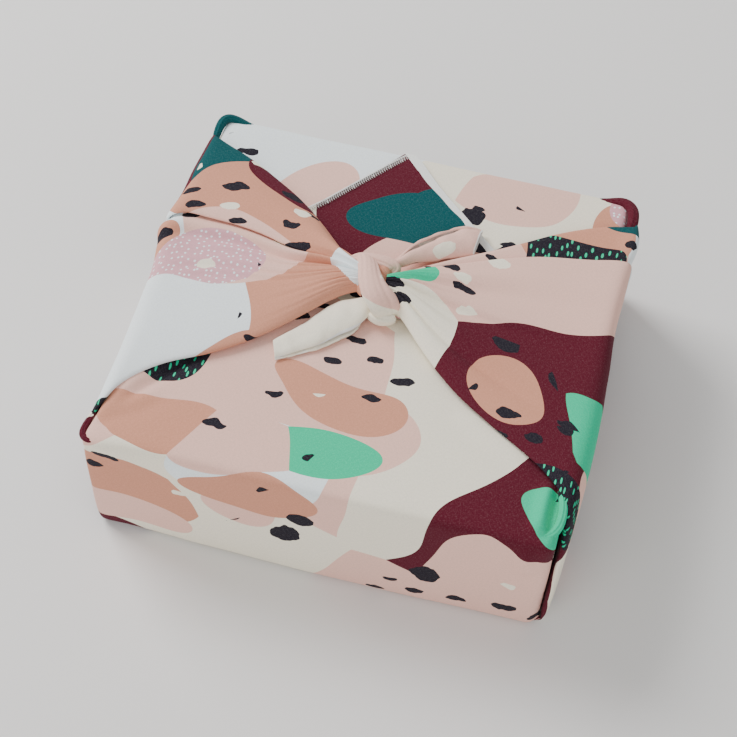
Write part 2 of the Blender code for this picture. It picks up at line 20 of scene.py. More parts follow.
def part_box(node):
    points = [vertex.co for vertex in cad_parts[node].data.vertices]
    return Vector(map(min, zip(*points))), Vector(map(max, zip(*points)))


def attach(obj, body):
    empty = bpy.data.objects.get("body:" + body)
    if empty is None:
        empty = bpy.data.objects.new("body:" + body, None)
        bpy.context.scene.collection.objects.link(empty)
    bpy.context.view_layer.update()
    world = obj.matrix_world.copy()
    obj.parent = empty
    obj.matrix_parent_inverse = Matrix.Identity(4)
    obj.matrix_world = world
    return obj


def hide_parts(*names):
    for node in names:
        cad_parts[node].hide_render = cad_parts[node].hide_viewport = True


bl_info = {
    "name": "Furoshiki wrap",
    "version": (1, 0, 0),
    "blender": (4, 5, 0),
    "location": "View3D > Sidebar > Furoshiki",
    "description": "A printed cotton wrapping cloth folded and knotted round a gift box",
    "category": "Object",
}

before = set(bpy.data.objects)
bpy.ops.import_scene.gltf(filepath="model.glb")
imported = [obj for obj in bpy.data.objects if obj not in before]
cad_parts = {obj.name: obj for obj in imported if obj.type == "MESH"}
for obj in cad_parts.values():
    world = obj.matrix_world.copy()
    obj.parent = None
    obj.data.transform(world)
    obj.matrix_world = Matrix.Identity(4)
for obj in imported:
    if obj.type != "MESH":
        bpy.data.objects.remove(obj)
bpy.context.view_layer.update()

MM = 0.001
BOX_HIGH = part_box("gift_box")[1] / MM
CLOTH_NODE = "furoshiki_cloth"
BODY = "root"

# The cloth's room, worked out from the box
CAD_CLOTH = 1.2  # thickness of the sheet in the frame
CLEAR = 0.3
LAYER_GAP = 0.5
PITCH = CAD_CLOTH + LAYER_GAP
SIDE = BOX_HIGH.x + CLEAR + CAD_CLOTH / 2
FRONT = BOX_HIGH.y + CLEAR + CAD_CLOTH / 2
FLOOR = CAD_CLOTH / 2
BACK_FLAP_Z = BOX_HIGH.z + CLEAR + CAD_CLOTH / 2
FRONT_FLAP_Z = BACK_FLAP_Z + PITCH
RIM_Z = 80.0

CORNER = 5.6
BASE_RINGS = ((FLOOR, 3.4, 4.8), (2.4, 1.0, 4.8))
WALL_ROWS = (7.0, 24.0, 48.0, 68.0, RIM_Z)
LEAST_SHARE = 0.008
PLEAT_START = 4.0
WALL_PANELS = (
    *(-122, -110, -98, -86, -73, -60, -42, -21, 0),
    *(22, 45, 68, 88, 104, 114, 121, 126, 130.5),
)

# One row for each section of a side, from the bottom of its wall over the rim to the knot.
# fx, fy, fz is the middle of the front fold edge and bx, by, bz that of the back fold edge.
# tilt turns the outward direction from level (0) to straight up (90). bow pushes the middle
# of the section towards the knot, crown lifts it off the straight line between the edges,
# ruck is the depth of the gathers, bulge a loose swelling on the rim, half the half height
# of each fold edge, and hem_f and hem_b are how far the cloth is turned under. step is the
# place along the section of a pleat, where the upper layer is folded back over the lower one,
# and lap how deep it is; a negative lap is the width of the flat cloth below the pleat.
SIDE_FIELDS = "fx fy fz bx by bz tilt bow crown ruck bulge half_f half_b hem_f hem_b step lap"
LEFT_ROWS = (
    (-139.2, -126.5, 7, -139.4, 130.9, 7, 0, 0, 0.3, 0, 0, 0.8, 0.8, 8, 8, 0.66, -8),
    (-139.2, -126, 24, -139.4, 131.2, 24, 0, 0, 0.3, 0, 0, 0.8, 0.8, 22, 22, 0.66, -8),
    (-139.2, -125.5, 48, -139.5, 131.4, 48, 0, 0, 0.3, 0, 1.1, 0.8, 0.8, 44, 44, 0.66, -8),
    (-139.3, -124, 68, -139.8, 127, 68, 0, 0, 0.3, 0.3, 3.2, 0.8, 0.8, 56, 54, 0.66, -8),
    (-139.5, -121.5, RIM_Z, -140.2, 121.5, RIM_Z)
    + (0, 0, 0.3, 0.6, 5.4, 0.8, 0.8, 58, 54, 0.655, -5),
    (-139.6, -118, 88.2, -140.4, 116.5, 89.5, 22, 0, 0.4, 1.2, 6.8, 1.1, 1.1, 52, 48, 0.655, 4),
    (-138.9, -115, 91.6, -139.8, 113, 92.8, 40, 0, 0.7, 1.5, 6.5, 1.2, 1.2, 50, 45, 0.66, 5),
    (-137.4, -109.5, 93.9, -138.2, 111, 94.9, 62, 1, 1.2, 1.7, 5, 1.25, 1.25, 48, 43, 0.665, 6),
    (-135, -102.5, 95, -135.4, 109.5, 95.5, 86, 3, 1.6, 1.9, 2.5, 1.15, 1.15, 46, 42, 0.67, 6),
    (-132, -94.5, 95.2, -129.5, 106.5, 95.5, 90, 5, 1.6, 2, 0.7, 1.15, 1.15, 43, 40, 0.675, 6),
    (-124, -85, 95.3, -114.5, 100.5, 95.4, 90, 4, 1.6, 2.1, 0, 1.2, 1.2, 40, 38, 0.675, 6),
    (-108.5, -71.5, 95.5, -100, 93.5, 95.4, 90, 2, 1.6, 2.2, 0, 1.3, 1.3, 37, 35, 0.677, 6),
    (-92, -63.5, 95.6, -86.5, 85, 95.5, 90, 0, 1.7, 2.3, 0, 1.4, 1.4, 33, 32, 0.685, 6),
    (-78.5, -54.5, 95.8, -73, 77, 95.7, 90, 0, 1.9, 2.4, 0, 1.5, 1.5, 29, 28, 0.68, 6),
    (-63.5, -43.5, 96.5, -58.5, 66, 96.3, 90, 0, 2.4, 2.5, 0, 1.65, 1.65, 25, 24, 0.668, 6),
    (-46.5, -26.5, 98, -42, 49, 97.8, 90, 0, 3.4, 2.6, 0, 1.8, 1.8, 18, 18, 0.735, 5),
    (-31, -9.5, 99.8, -29, 35, 99.8, 90, 0, 4.4, 2.3, 0, 1.9, 1.9, 12, 12, 0.81, 4),
    (-20, 1.5, 101.2, -19, 26, 101.2, 90, 0, 4.8, 1.8, 0, 1.9, 1.9, 6, 6, 0.86, 3),
    (-10, 7, 101.8, -10, 21, 101.8, 90, 0, 3, 0.9, 0, 1.8, 1.8, 3, 3, 0.86, 2),
)
# Along each section, from the front fold to the back one: the place of a gather and its
# height as a share of the row's ruck.
LEFT_GATHERS = (
    (0.07, 0), (0.17, 0.1), (0.28, 0.3), (0.39, 0.4), (0.5, 0.45), (0.6, 0.4), (0.69, 0.2),
    (0.77, 0), (0.83, -0.15), (0.875, -1.3), (0.905, 0.5), (0.935, 1.5), (0.965, 1.1),
    (0.985, -0.2),
)
LEFT_REAR_GATHERS = (
    (0.12, 0.3), (0.26, -0.25), (0.4, 0.1), (0.55, 0.35), (0.7, 0.1), (0.84, 0), (0.93, 0),
)
LEFT_BULGE = (20.5, 15.5)  # the y of a side's bulge and its reach

RIGHT_ROWS = (
    (140.8, -130.9, 7, 140.8, 130.9, 7, 0, 0, 0.8, 0, 0, 1.6, 0.85, 8, 8, 0.79, -8),
    (141.5, -131, 24, 141.1, 131.2, 24, 0, 0, 1.8, 0, 0, 2.4, 0.85, 22, 22, 0.79, -8),
    (141.6, -130, 48, 141.3, 131.4, 48, 0, 0, 2.2, 0, 0, 2.4, 0.85, 40, 44, 0.79, -8),
    (141.8, -125.5, 68, 142, 128, 68, 0, 0, 2.6, 0, 1, 2.6, 0.85, 52, 46, 0.79, -8),
    (141.8, -119.5, RIM_Z, 142.6, 124, RIM_Z, 0, 0, 2.8, 0, 3, 2.5, 0.85, 54, 42, 0.8, 7),
    (141.2, -112.5, 87.6, 143.8, 118, 88.8, 20, 0, 2.8, 0.3, 5, 2.2, 1.2, 52, 36, 0.82, 7),
    (140.8, -109.5, 90.4, 144.4, 114, 91.8, 38, 0, 2.8, 0.4, 5.5, 2, 1.3, 50, 33, 0.83, 7),
    (139.6, -105, 93, 144.4, 111, 94.2, 62, 1, 3, 0.5, 5, 1.9, 1.35, 49, 30, 0.84, 7),
    (136.2, -99, 95, 141.6, 109, 95.2, 85, 2, 2.4, 0.6, 2.5, 1.6, 1.2, 47, 28, 0.84, 8),
    (130, -92.5, 95.3, 135.4, 107.2, 95.3, 90, 2, 2, 0.8, 0, 1.15, 1.15, 45, 26, 0.84, 10),
    (122, -86, 95.4, 124, 104.5, 95.3, 90, 1, 1.6, 1, 0, 1.2, 1.2, 42, 25, 0.83, 12),
    (111.5, -78.5, 95.5, 108, 97.5, 95.3, 90, 0, 1.4, 1.2, 0, 1.25, 1.25, 39, 22, 0.84, 12),
    (95, -69, 95.6, 92, 88, 95.4, 90, 0, 1.4, 1.4, 0, 1.3, 1.3, 35, 19, 0.86, 12),
    (79, -59.5, 95.8, 76, 75.5, 95.6, 90, 0, 1.5, 1.7, 0, 1.4, 1.4, 31, 14, 0.89, 11),
    (64.5, -50, 96.1, 62, 66, 95.9, 90, 0, 1.8, 2, 0, 1.5, 1.5, 27, 12, 0.9, 10),
    (50, -38.5, 96.9, 47.5, 56.5, 96.7, 90, 0, 2.4, 2.2, 0, 1.65, 1.65, 21, 9, 0.9, 8),
    (34.5, -24, 98.3, 32.5, 46.5, 98.2, 90, 0, 3.4, 2.3, 0, 1.8, 1.8, 14, 7, 0.9, 6),
    (21.5, -9.5, 99.8, 20, 36.5, 99.8, 90, 0, 4.6, 1.9, 0, 1.9, 1.9, 8, 5, 0.9, 4.5),
    (13, -1.5, 101, 11, 28.5, 101, 90, 0, 5, 1.4, 0, 1.9, 1.9, 5, 4, 0.9, 3.5),
    (4, 5, 101.8, 3, 21, 101.8, 90, 0, 3, 0.6, 0, 1.8, 1.8, 3, 3, 0.9, 2),
)
RIGHT_GATHERS = (
    (0.06, 0.1), (0.13, 0.4), (0.19, 0), (0.25, -0.5), (0.31, 0.3), (0.38, 0.6), (0.45, 0.2),
    (0.51, -0.7), (0.57, 0.2), (0.63, 0.9), (0.69, 0.2), (0.74, -0.7), (0.79, 0.2), (0.85, 0.8),
    (0.9, 0.3), (0.95, -0.1),
)
RIGHT_BULGE = (93.0, 15.0)
STEP_RISE = 2.0
STEP_FULL_Z = 68.0
LEFT_STEP = ((-0.6, 1.1), (-1.0, 1.7), (1.4, 2.3))  # along the section and up, in rises
LEFT_STEP_SHARE = 0.9

# A flap over the rim of its wall: how far the row lies back from the wall and below the top,
# and the same for the shoulder and the hem of its turned-down sides.
RIM_FIELDS = "back drop shoulder shoulder_back hem_back"
RIM_ROWS = (
    (0.1, 4.2, 0.8, 2.2, 6.4),
    (1.9, 1.2, 1.1, 3.9, 7.9),
    (5.6, 0, 1.4, 8.8, 10.4),
)
FLAP_INNER = 4.2
FADE_FIELDS = "y shoulder shoulder_drop hem_in hem_drop"
FLAP_FADE_ROWS = (
    (15, 1.5, 1, 0.1, 3.6),
    (8, 2.9, 0.2, 0.9, 0.6),
)
FLAP_FULL_ROWS = (113.0, 98.0, 85.0, 72.0, 58.0, 42.0, 26.0)
FLAP_FIELDS = "y left right z"
FRONT_FLAP_ROWS = (
    (-3, -131, 130, FRONT_FLAP_Z),
    (12, -119.5, 117.5, FRONT_FLAP_Z),
    (36, -94.5, 93, FRONT_FLAP_Z),
    (58, -72, 71.5, FRONT_FLAP_Z),
    (79, -53.5, 49.5, FRONT_FLAP_Z),
    (96, -40.5, 31.5, FRONT_FLAP_Z),
    (109, -30.5, 16.5, FRONT_FLAP_Z),
    (120, -22, 5.5, FRONT_FLAP_Z),
    (127.5, -16, -2, FRONT_FLAP_Z - 0.1),
    (131.8, -12.6, -8.4, FRONT_FLAP_Z - 0.6),
)
BACK_FLAP_ROWS = (
    (3, -130, 130, BACK_FLAP_Z),
    (-14, -116, 116, BACK_FLAP_Z),
    (-42, -91, 91, BACK_FLAP_Z),
    (-72, -62, 62, BACK_FLAP_Z),
    (-102, -33, 33, BACK_FLAP_Z),
    (-124, -11, 11, BACK_FLAP_Z),
)
VALANCE_Z = 84.8

# Strands of the knot. across is the heading of the width in degrees; KNOT_STRANDS gives the place
# on the flat cloth that each strand shows.
STRAND_FIELDS = "x y z width thick across"
KNOT_BAND = (
    (-17.6, 31.2, 102, 8, 5, 20),
    (-13.2, 27.4, 107, 11, 5.6, 8),
    (-9.2, 19.1, 110.2, 12.5, 6.2, 4),
    (-6, 10.6, 111.6, 14.5, 6.6, 10),
    (-2, 3.7, 111.4, 16.5, 6.8, 22),
    (2.4, -0.9, 109.6, 18, 6.8, 30),
    (7, -3.6, 106, 18, 6.4, 34),
    (10, -3.8, 102, 15, 5.6, 36),
    (10.6, -1.6, 98.5, 10, 4.5, 36),
)
KNOT_TOP_ROLL = (
    (-22.9, 25.6, 98.5, 5, 4, 60),
    (-22.1, 27.4, 101.8, 7, 6, 75),
    (-17.2, 28.2, 104.6, 8.5, 6.8, 88),
    (-11, 28.6, 105.6, 9, 7, 92),
    (-3.9, 28.7, 105.6, 9.5, 7, 98),
    (1.4, 28.7, 105, 9.5, 6.8, 86),
    (5.4, 28.2, 103.8, 8, 6, 50),
    (4.9, 24.6, 102, 6.2, 5.2, 15),
    (1.6, 20.2, 100.6, 5.2, 4.4, 0),
)
KNOT_FACET = (
    (-6.7, 27.4, 104.5, 4, 3, 70),
    (-1.9, 24.2, 105.6, 9, 4.5, 80),
    (1.6, 21.3, 104.4, 9, 5, 85),
    (3.4, 17.4, 101.4, 6, 4, 90),
)
KNOT_LUMP = (
    (-6.2, 0.8, 97, 4, 4, 100),
    (-1.8, -4.2, 97.5, 7.5, 6.5, 110),
    (4.1, -7.6, 98.2, 9.5, 8, 90),
    (9.5, -7, 98.4, 9.5, 8, 76),
    (14, -2.9, 98.5, 7.5, 7, 56),
    (15.8, 3.4, 98.5, 5, 5, 40),
)
# Rolls where the wings are gathered into the knot.
RIGHT_NECK = (
    (5.6, 12.4, 101, 5, 5, 52),
    (9.6, 8.9, 102, 10, 7.6, 55),
    (14.4, 6, 102.2, 13.5, 8.6, 58),
    (20, 3.4, 101.4, 15, 8.4, 62),
    (26.4, 0.8, 100, 14, 7.2, 64),
    (33.4, -1.8, 98.6, 11, 5.6, 64),
    (41, -4.4, 97, 6, 3, 64),
)
LEFT_NECK = (
    (-14.3, 11.7, 102.4, 4, 4, 60),
    (-18.8, 12, 102.6, 7, 6, 60),
    (-24, 12.5, 101.4, 8, 6, 60),
    (-29.8, 10.5, 99.8, 8, 4.5, 60),
    (-36.3, 6.5, 98.4, 6, 3, 62),
    (-44, 0.2, 97.2, 3, 1.6, 62),
)
LEFT_REAR_NECK = (
    (-17.9, 24.9, 103.5, 4, 4, 50),
    (-23, 27.6, 102.6, 6, 5, 50),
    (-28.9, 31.6, 101.4, 6, 4.4, 50),
    (-36.2, 36.1, 99.9, 5, 3.4, 48),
    (-46, 42.1, 98.2, 3, 2, 46),
)
LEFT_MIDDLE_NECK = (
    (-16.6, 20.4, 103, 4, 4, 50),
    (-22.3, 22.4, 102.8, 5, 5, 60),
    (-30, 24, 101.2, 5, 4.4, 66),
    (-39.6, 25, 99.5, 4.5, 3.4, 70),
    (-52.6, 26.6, 97.8, 3, 2, 72),
)
STRAND_SIDES = 40
# Folds along a strand: where round it each lies, how deep and how wide it is.
BAND_FOLDS = (
    (0.5, 1, 0.14), (0.95, 0.5, 0.12), (1.4, 0.3, 0.12), (1.9, 0.8, 0.12), (2.3, 0.3, 0.1),
    (2.7, 1.1, 0.16),
)
ROLL_FOLDS = ((0.7, 0.7, 0.16), (1.1, 0.4, 0.12), (1.5, 1.0, 0.13), (2.3, 0.8, 0.16))
LIP_FOLDS = ((1.2, 0.5, 0.25), (2.0, 0.4, 0.2))
NECK_FOLDS = ((0.7, 0.5, 0.16), (1.2, 0.3, 0.12), (1.6, 0.7, 0.13), (2.4, 0.5, 0.16))
LUMP_FOLDS = ((0.6, 0.8, 0.2), (1.4, 1.1, 0.18), (2.2, 0.9, 0.2), (2.9, 0.6, 0.2))
CORE_MIDDLE, CORE_RADII = (-5.0, 14.0, 102.0), (11.5, 13.0, 6.5)

# Rolled cloth on corners of the rim, between the walls and the wings.
LEFT_LIP = (
    (-108, 130.6, 88, 2.4, 1.8, 90),
    (-120, 131.8, 89, 3.8, 3, 92),
    (-130, 133, 90.6, 5.4, 5, 100),
    (-136.4, 131.8, 91.5, 6.2, 5.8, 130),
    (-139.2, 126.5, 91.3, 6.2, 5.8, 165),
    (-139.6, 117, 89.6, 5, 4.8, 180),
    (-138.4, 103, 86.8, 3, 3, 180),
)
RIGHT_LIP = (
    (108, 130.6, 88, 2.4, 1.8, 90),
    (122, 131.8, 89.4, 4.6, 3.8, 88),
    (132.6, 132.4, 91, 6.6, 5.8, 72),
    (139, 127.8, 91.6, 7.4, 6.8, 42),
    (141.2, 120.5, 91, 7.4, 6.8, 10),
    (141.2, 112, 89.4, 6.4, 5.8, 0),
    (139.4, 101, 86.8, 3.6, 3.6, 0),
)
FRONT_LIP = (
    (-112, -129.8, 89, 2, 1.4, 90),
    (-124, -131.2, 88.6, 3, 2.4, 86),
    (-133.5, -132.2, 88.8, 3.8, 3.6, 72),
    (-139.2, -130.4, 89.2, 4.2, 4.2, 40),
    (-140.2, -124.5, 89.6, 4, 4, 5),
    (-139, -115, 89.2, 3.2, 3.2, -5),
    (-137.2, -103, 88, 2, 2, -5),
)
MOUTH_LIP = (
    (130.5, -82, 91.6, 2.6, 1.8, 0),
    (134.4, -94, 92.6, 4.2, 3.8, 0),
    (137, -102.5, 92.6, 5, 4.8, 0),
    (137.8, -110, 91.9, 5.2, 5.2, -5),
    (137, -117, 91.2, 5.2, 5.2, -30),
    (133.6, -122.6, 90.6, 5, 4.8, -60),
    (127.4, -125.4, 90, 4.2, 3.8, -85),
    (114, -126.4, 89.2, 2.6, 2, -90),
)
LIP_TWIST = 0.2
LIPS = (
    (LEFT_LIP, (-272, 192)),
    (RIGHT_LIP, (122, 72)),
    (FRONT_LIP, (-180, -190)),
    (MOUTH_LIP, (134, -272)),
)

# The tails, each a strip folded along x, y, z. across is the heading from the fold to the
# open edges, upper and lower the widths of the two layers, half half the space between them,
# puff how far the upper one swells and curl how far the edge of the lower one rises.
TAIL_FIELDS = "x y z upper lower half across puff curl"
FRONT_TAIL = (
    (-2, 4.6, 100, 6, 5, 2, -42, 0.4, 0),
    (-10.5, 2.2, 99.2, 13, 11, 2.2, -41, 1, 0),
    (-18.4, -0.8, 98.2, 18.5, 17.5, 2.2, -40, 1.8, 0),
    (-25.5, -5.4, 97.3, 22.5, 24, 2, -40, 2, 0),
    (-31.8, -13.1, 96.2, 20.5, 22.8, 1.7, -40, 1.6, 0),
    (-36.6, -20.6, 95.6, 18.5, 20.8, 1.5, -41, 1.2, 0.2),
    (-41.7, -27.2, 95.2, 16.5, 18.5, 1.4, -46, 1, 0.4),
    (-47.5, -33.5, 94.8, 14.5, 16, 1.3, -58, 0.9, 0.5),
    (-52.6, -39.2, 94.6, 13, 14.2, 1.2, -68, 0.9, 0.6),
)
BACK_TAIL = (
    (1, 28, 102, 4, 6, 2, 100, 0.5, 0.5),
    (6.8, 31.5, 101, 6.5, 9.5, 2.2, 97, 1, 2),
    (12.7, 36.5, 100, 10, 15.5, 2.4, 95, 1.8, 4.2),
    (22.8, 43, 98.6, 15.5, 21, 2.6, 94, 2.6, 4.6),
    (33.2, 49, 97.4, 21, 25.5, 2.8, 93, 3, 4),
    (40, 52.5, 96.8, 23, 26.5, 3, 92, 2.8, 3.4),
    (46, 56, 96.5, 21.5, 25, 3, 90, 2.2, 2.8),
    (49, 58.5, 96.3, 18.5, 22, 2.8, 86, 1.6, 2.2),
)
TAIL_MARGIN = 4.5
TAILS = (
    ("front_tail", FRONT_TAIL, (48, -312)),
    ("back_tail", BACK_TAIL, (-345, -196)),
)

# The overlocked edge: a zigzag thread between two lines along an edge.
STITCH_PITCH = 1.7
STITCH_DEPTH = 3.6
THREAD, EDGE_THREAD = 0.42, 0.42 * 1.3
EDGE_THREAD_STEPS = 8
THREAD_PLACE = (-90.0, 90.0)
OVERLOCK_START_Y = 50.0

# Each strand of the knot: its table, the place on the flat cloth of its start, the way that
# the flat cloth runs along it, its folds and how far they turn from end to end.
KNOT_STRANDS = (
    (KNOT_BAND, (-262, 342), (0, 1), BAND_FOLDS, 0.9),
    (KNOT_TOP_ROLL, (-302, 352), (1, 0), ROLL_FOLDS, 1.1),
    (KNOT_FACET, (-282, 292), (1, 0), ROLL_FOLDS, 0.4),
    (KNOT_LUMP, (118, 205), (0, 1), LUMP_FOLDS, 1.6),
    (RIGHT_NECK, (352, -20), (1, 0), NECK_FOLDS, 0.5),
    (LEFT_NECK, (-350, -4), (1, 0), NECK_FOLDS, 0.4),
    (LEFT_REAR_NECK, (-350, 14), (1, 0), NECK_FOLDS, 0.4),
    (LEFT_MIDDLE_NECK, (-350, 8), (1, 0), NECK_FOLDS, 0.4),
)

# Fine creases of the wings: side, share of the section at the rim and at the knot, where
# along the wing it starts (0 at the rim, 1 at the knot), depth and half width.
CREASE_FIELDS = "side rim_share knot_share start depth width"
CREASES = (
    (-1, 0.6, 0.6, 0.1, 0.9, 0.014),
    (-1, 0.67, 0.68, 0.05, 1.1, 0.014),
    (-1, 0.79, 0.8, 0.25, 0.9, 0.013),
    (-1, 0.72, 0.745, 0.45, 0.5, 0.012),
    (-1, 0.3, 0.4, 0.55, 0.5, 0.02),
    (-1, 0.18, 0.25, 0.65, 0.6, 0.02),
    (-1, 0.45, 0.5, 0.6, 0.5, 0.018),
    (-1, 0.88, 0.9, 0.55, 0.5, 0.016),
    (1, 0.2, 0.24, 0.25, 0.7, 0.018),
    (1, 0.4, 0.44, 0.45, 0.6, 0.018),
    (1, 0.52, 0.56, 0.3, 0.8, 0.016),
    (1, 0.66, 0.66, 0.5, 0.6, 0.016),
    (1, 0.3, 0.34, 0.6, 0.6, 0.016),
)

# Folds of the front wall and of the flap on top: the two ends of a line (x and z on the
# wall, x and y on top), then how far the cloth is drawn in along it, how far it swells
# beside it, and the half width. A swelling on the side of a negative number lies below it.
FOLD_FIELDS = "face ax ay bx by depth swell width"
FLAT_FOLDS = (
    ("top", -129, -108, -84, -44, 2, 1.8, 6),
    ("top", -140, -125, -98, -96, 0.8, 0.9, 7),
    ("top", 131.8, -126, 132.2, -88, 1.6, 3, 4.2),
    ("top", 60, -66, 116, -92, 0.5, 1.2, 8),
    ("wall", -141, 84, -104, 58, 0.4, 1.4, 9),
    ("wall", 134, 62, 128, 92, 0.3, 2.2, 6),
    ("wall", 124, 60, 136.5, 30, 0.4, 1.4, 7),
)

# Places where the cloth stands further out: the middle, the reach each way and the move.
NUDGE_FIELDS = "x y z rx ry rz dx dy dz"
NUDGES = (
    (0, 140, 60, 900, 22, 900, 0, 3.2, 0.8),
    (-20, -140, 0, 300, 20, 70, 0, -3, 0),
    (-139, -134, 55, 15, 14, 80, -3.6, -1.8, 0),
    (152, 32, 88, 10, 50, 45, -4.6, 0, 0),
    (-10, -140, 0, 110, 20, 45, 0, -3, 0),
    (-148, -72, 96, 22, 52, 8, 3.4, 0, -0.6),
)


def rows_of(fields, table):
    """A table's rows, each with its columns as named values."""
    names = fields.split()
    return [SimpleNamespace(**dict(zip(names, values, strict=True))) for values in table]


def between(a, b, share):
    return a + (b - a) * share


def smooth_step(low, high, value):
    share = np.clip((value - low) / (high - low), 0.0, 1.0)
    return share * share * (3 - 2 * share)


# The folded sheet

FAR_FROM_EDGE = 200.0
NO_SHARE = -9.0  # of a spot that no wing's creases reach
SPOT_LAYERS = ("share", "reach", "margin")


@dataclass
class Spot:
    """A point of the sheet: its place, its place on the flat cloth and how it may crease.
    share runs across a wing, reach from the rim to the knot, margin in from the cloth's edge."""

    point: Vector
    flat: tuple
    share: float = NO_SHARE
    reach: float = 0.0
    margin: float = FAR_FROM_EDGE


class Sheet:
    """Collects an open surface from grids of spots; spots that coincide are one point."""

    def __init__(self):
        self.shape = bmesh.new()
        self.flat = self.shape.loops.layers.uv.new("flat_cloth")
        self.layers = {name: self.shape.verts.layers.float.new(name) for name in SPOT_LAYERS}
        self.made = {}

    def at(self, spot):
        key = tuple(round(value, 3) for value in spot.point)
        if key not in self.made:
            vertex = self.shape.verts.new(spot.point * MM)
            for name, layer in self.layers.items():
                vertex[layer] = getattr(spot, name)
            self.made[key] = vertex
        return self.made[key]

    def face(self, spots):
        corners = []
        flats = []
        for spot in spots:
            vertex = self.at(spot)
            if vertex not in corners:
                corners.append(vertex)
                flats.append(spot.flat)
        if len(corners) < 3 or self.shape.faces.get(corners):
            return
        face = self.shape.faces.new(corners)
        for loop, flat in zip(face.loops, flats):
            loop[self.flat].uv = Vector(flat) * MM

    def grid(self, rows):
        for low, high in zip(rows, rows[1:]):
            for i in range(len(low) - 1):
                self.face((low[i], low[i + 1], high[i + 1], high[i]))

    def tube(self, rings):
        """A closed tube: each ring's last spot is its first one, with its own flat place."""
        self.grid(rings)
        self.face(rings[0][:-1])
        self.face(rings[-1][:-1])

    def mesh(self, name):
        bmesh.ops.recalc_face_normals(self.shape, faces=self.shape.faces)
        mesh = bpy.data.meshes.new(name)
        self.shape.to_mesh(mesh)
        self.shape.free()
        return mesh


def distances(points):
    steps = [(b - a).length for a, b in zip(points, points[1:])]
    return list(itertools.accumulate(steps, initial=0.0))


def spots_of(rows, middle, start, way):
    """A grid of points as spots. The flat cloth is measured across from the column middle and
    along from start; way is the direction on it in which along runs."""
    grid = []
    for row, run in zip(rows, distances([row[middle] for row in rows])):
        along = start + run
        across = distances(row)
        spots = []
        for point, place in zip(row, across):
            aside = place - across[middle]
            flat = (
                way[0] * along + abs(way[1]) * aside,
                way[1] * along + abs(way[0]) * aside,
            )
            spots.append(Spot(point, flat))
        grid.append(spots)
    return grid


# How far the layers of a folded edge come together: in half heights and as a share of the hem.
FOLD_REACH, HEM_REACH = 1.7, 0.6
LEFT_COLUMNS, TURN_OUT = 5, 0.4  # columns of the left pleat, and how far its turn is rounded
EDGE_OUT = 1.7  # how far the right pleat's upper edge stands past its step
KNEE, KNEE_SHARE = 2.5, 0.3  # where the cloth below the right pleat comes to rest
FLAT_TURN, FLAT_KNEE = 0.8, 4.6  # the same places where there is no lap
REST_SHARES = (0.33, 0.66)


def fold_edge(edge, inward, out, half, hem):
    """A turned-under edge: the end of the hem, its middle, and round to the upper layer."""
    reach = min(FOLD_REACH * half, HEM_REACH * hem)
    low = edge - out * half
    return [
        low + inward * hem,
        low + inward * (hem + reach) / 2,
        low + inward * reach,
        edge,
        edge + out * half + inward * reach,
    ]


def side_edges(row, outward):
    """A section's outward direction, the way to its back fold, and its two folded edges."""
    tilt = math.radians(row.tilt)
    out = Vector((outward * math.cos(tilt), 0, math.sin(tilt)))
    along = Vector((row.bx - row.fx, row.by - row.fy, row.bz - row.fz)).normalized()
    front = fold_edge(Vector((row.fx, row.fy, row.fz)), along, out, row.half_f, row.hem_f)
    back = fold_edge(Vector((row.bx, row.by, row.bz)), -along, out, row.half_b, row.hem_b)
    return out, along, front, back


def swelling(row, y, bulge):
    middle, reach = bulge
    return row.bulge * math.exp(-(((y - middle) / reach) ** 2))


def lifted(row, gathers, start, end, out, bulge, toward, swollen):
    """The upper layer between two ends that are swollen by so much already."""
    found = []
    for share, gather in gathers:
        point = start.lerp(end, share)
        arch = 1 - (2 * share - 1) ** 4
        push = row.bow * math.sin(math.pi * share)
        swell = swelling(row, point.y, bulge) - between(*swollen, share)
        rise = row.crown * arch + row.ruck * gather + swell
        found.append(point + out * rise + Vector((toward * push, 0, 0)))
    return found


def left_section(row):
    """The rear part lies over the front part, which is turned back and out again beneath it."""
    out, along, front, back = side_edges(row, -1)
    rise = STEP_RISE * LEFT_STEP_SHARE
    lower = front[-1].lerp(back[-1], row.step)
    swell = swelling(row, lower.y, LEFT_BULGE)
    lower += out * swell
    middle = lifted(row, LEFT_GATHERS, front[-1], lower, out, LEFT_BULGE, 1, (0.0, swell))
    if row.lap > 0:
        turn = lower + along * row.lap
        step = [turn, turn + along * TURN_OUT + out * rise]
        step += [lower + along * run + out * rise * height for run, height in LEFT_STEP]
    else:
        step = [lower - along * row.lap * i / LEFT_COLUMNS for i in range(LEFT_COLUMNS)]
    rest = lifted(row, LEFT_REAR_GATHERS, step[-1], back[-1], out, LEFT_BULGE, 0, (swell, 0.0))
    return front + middle + step + rest + back[::-1]


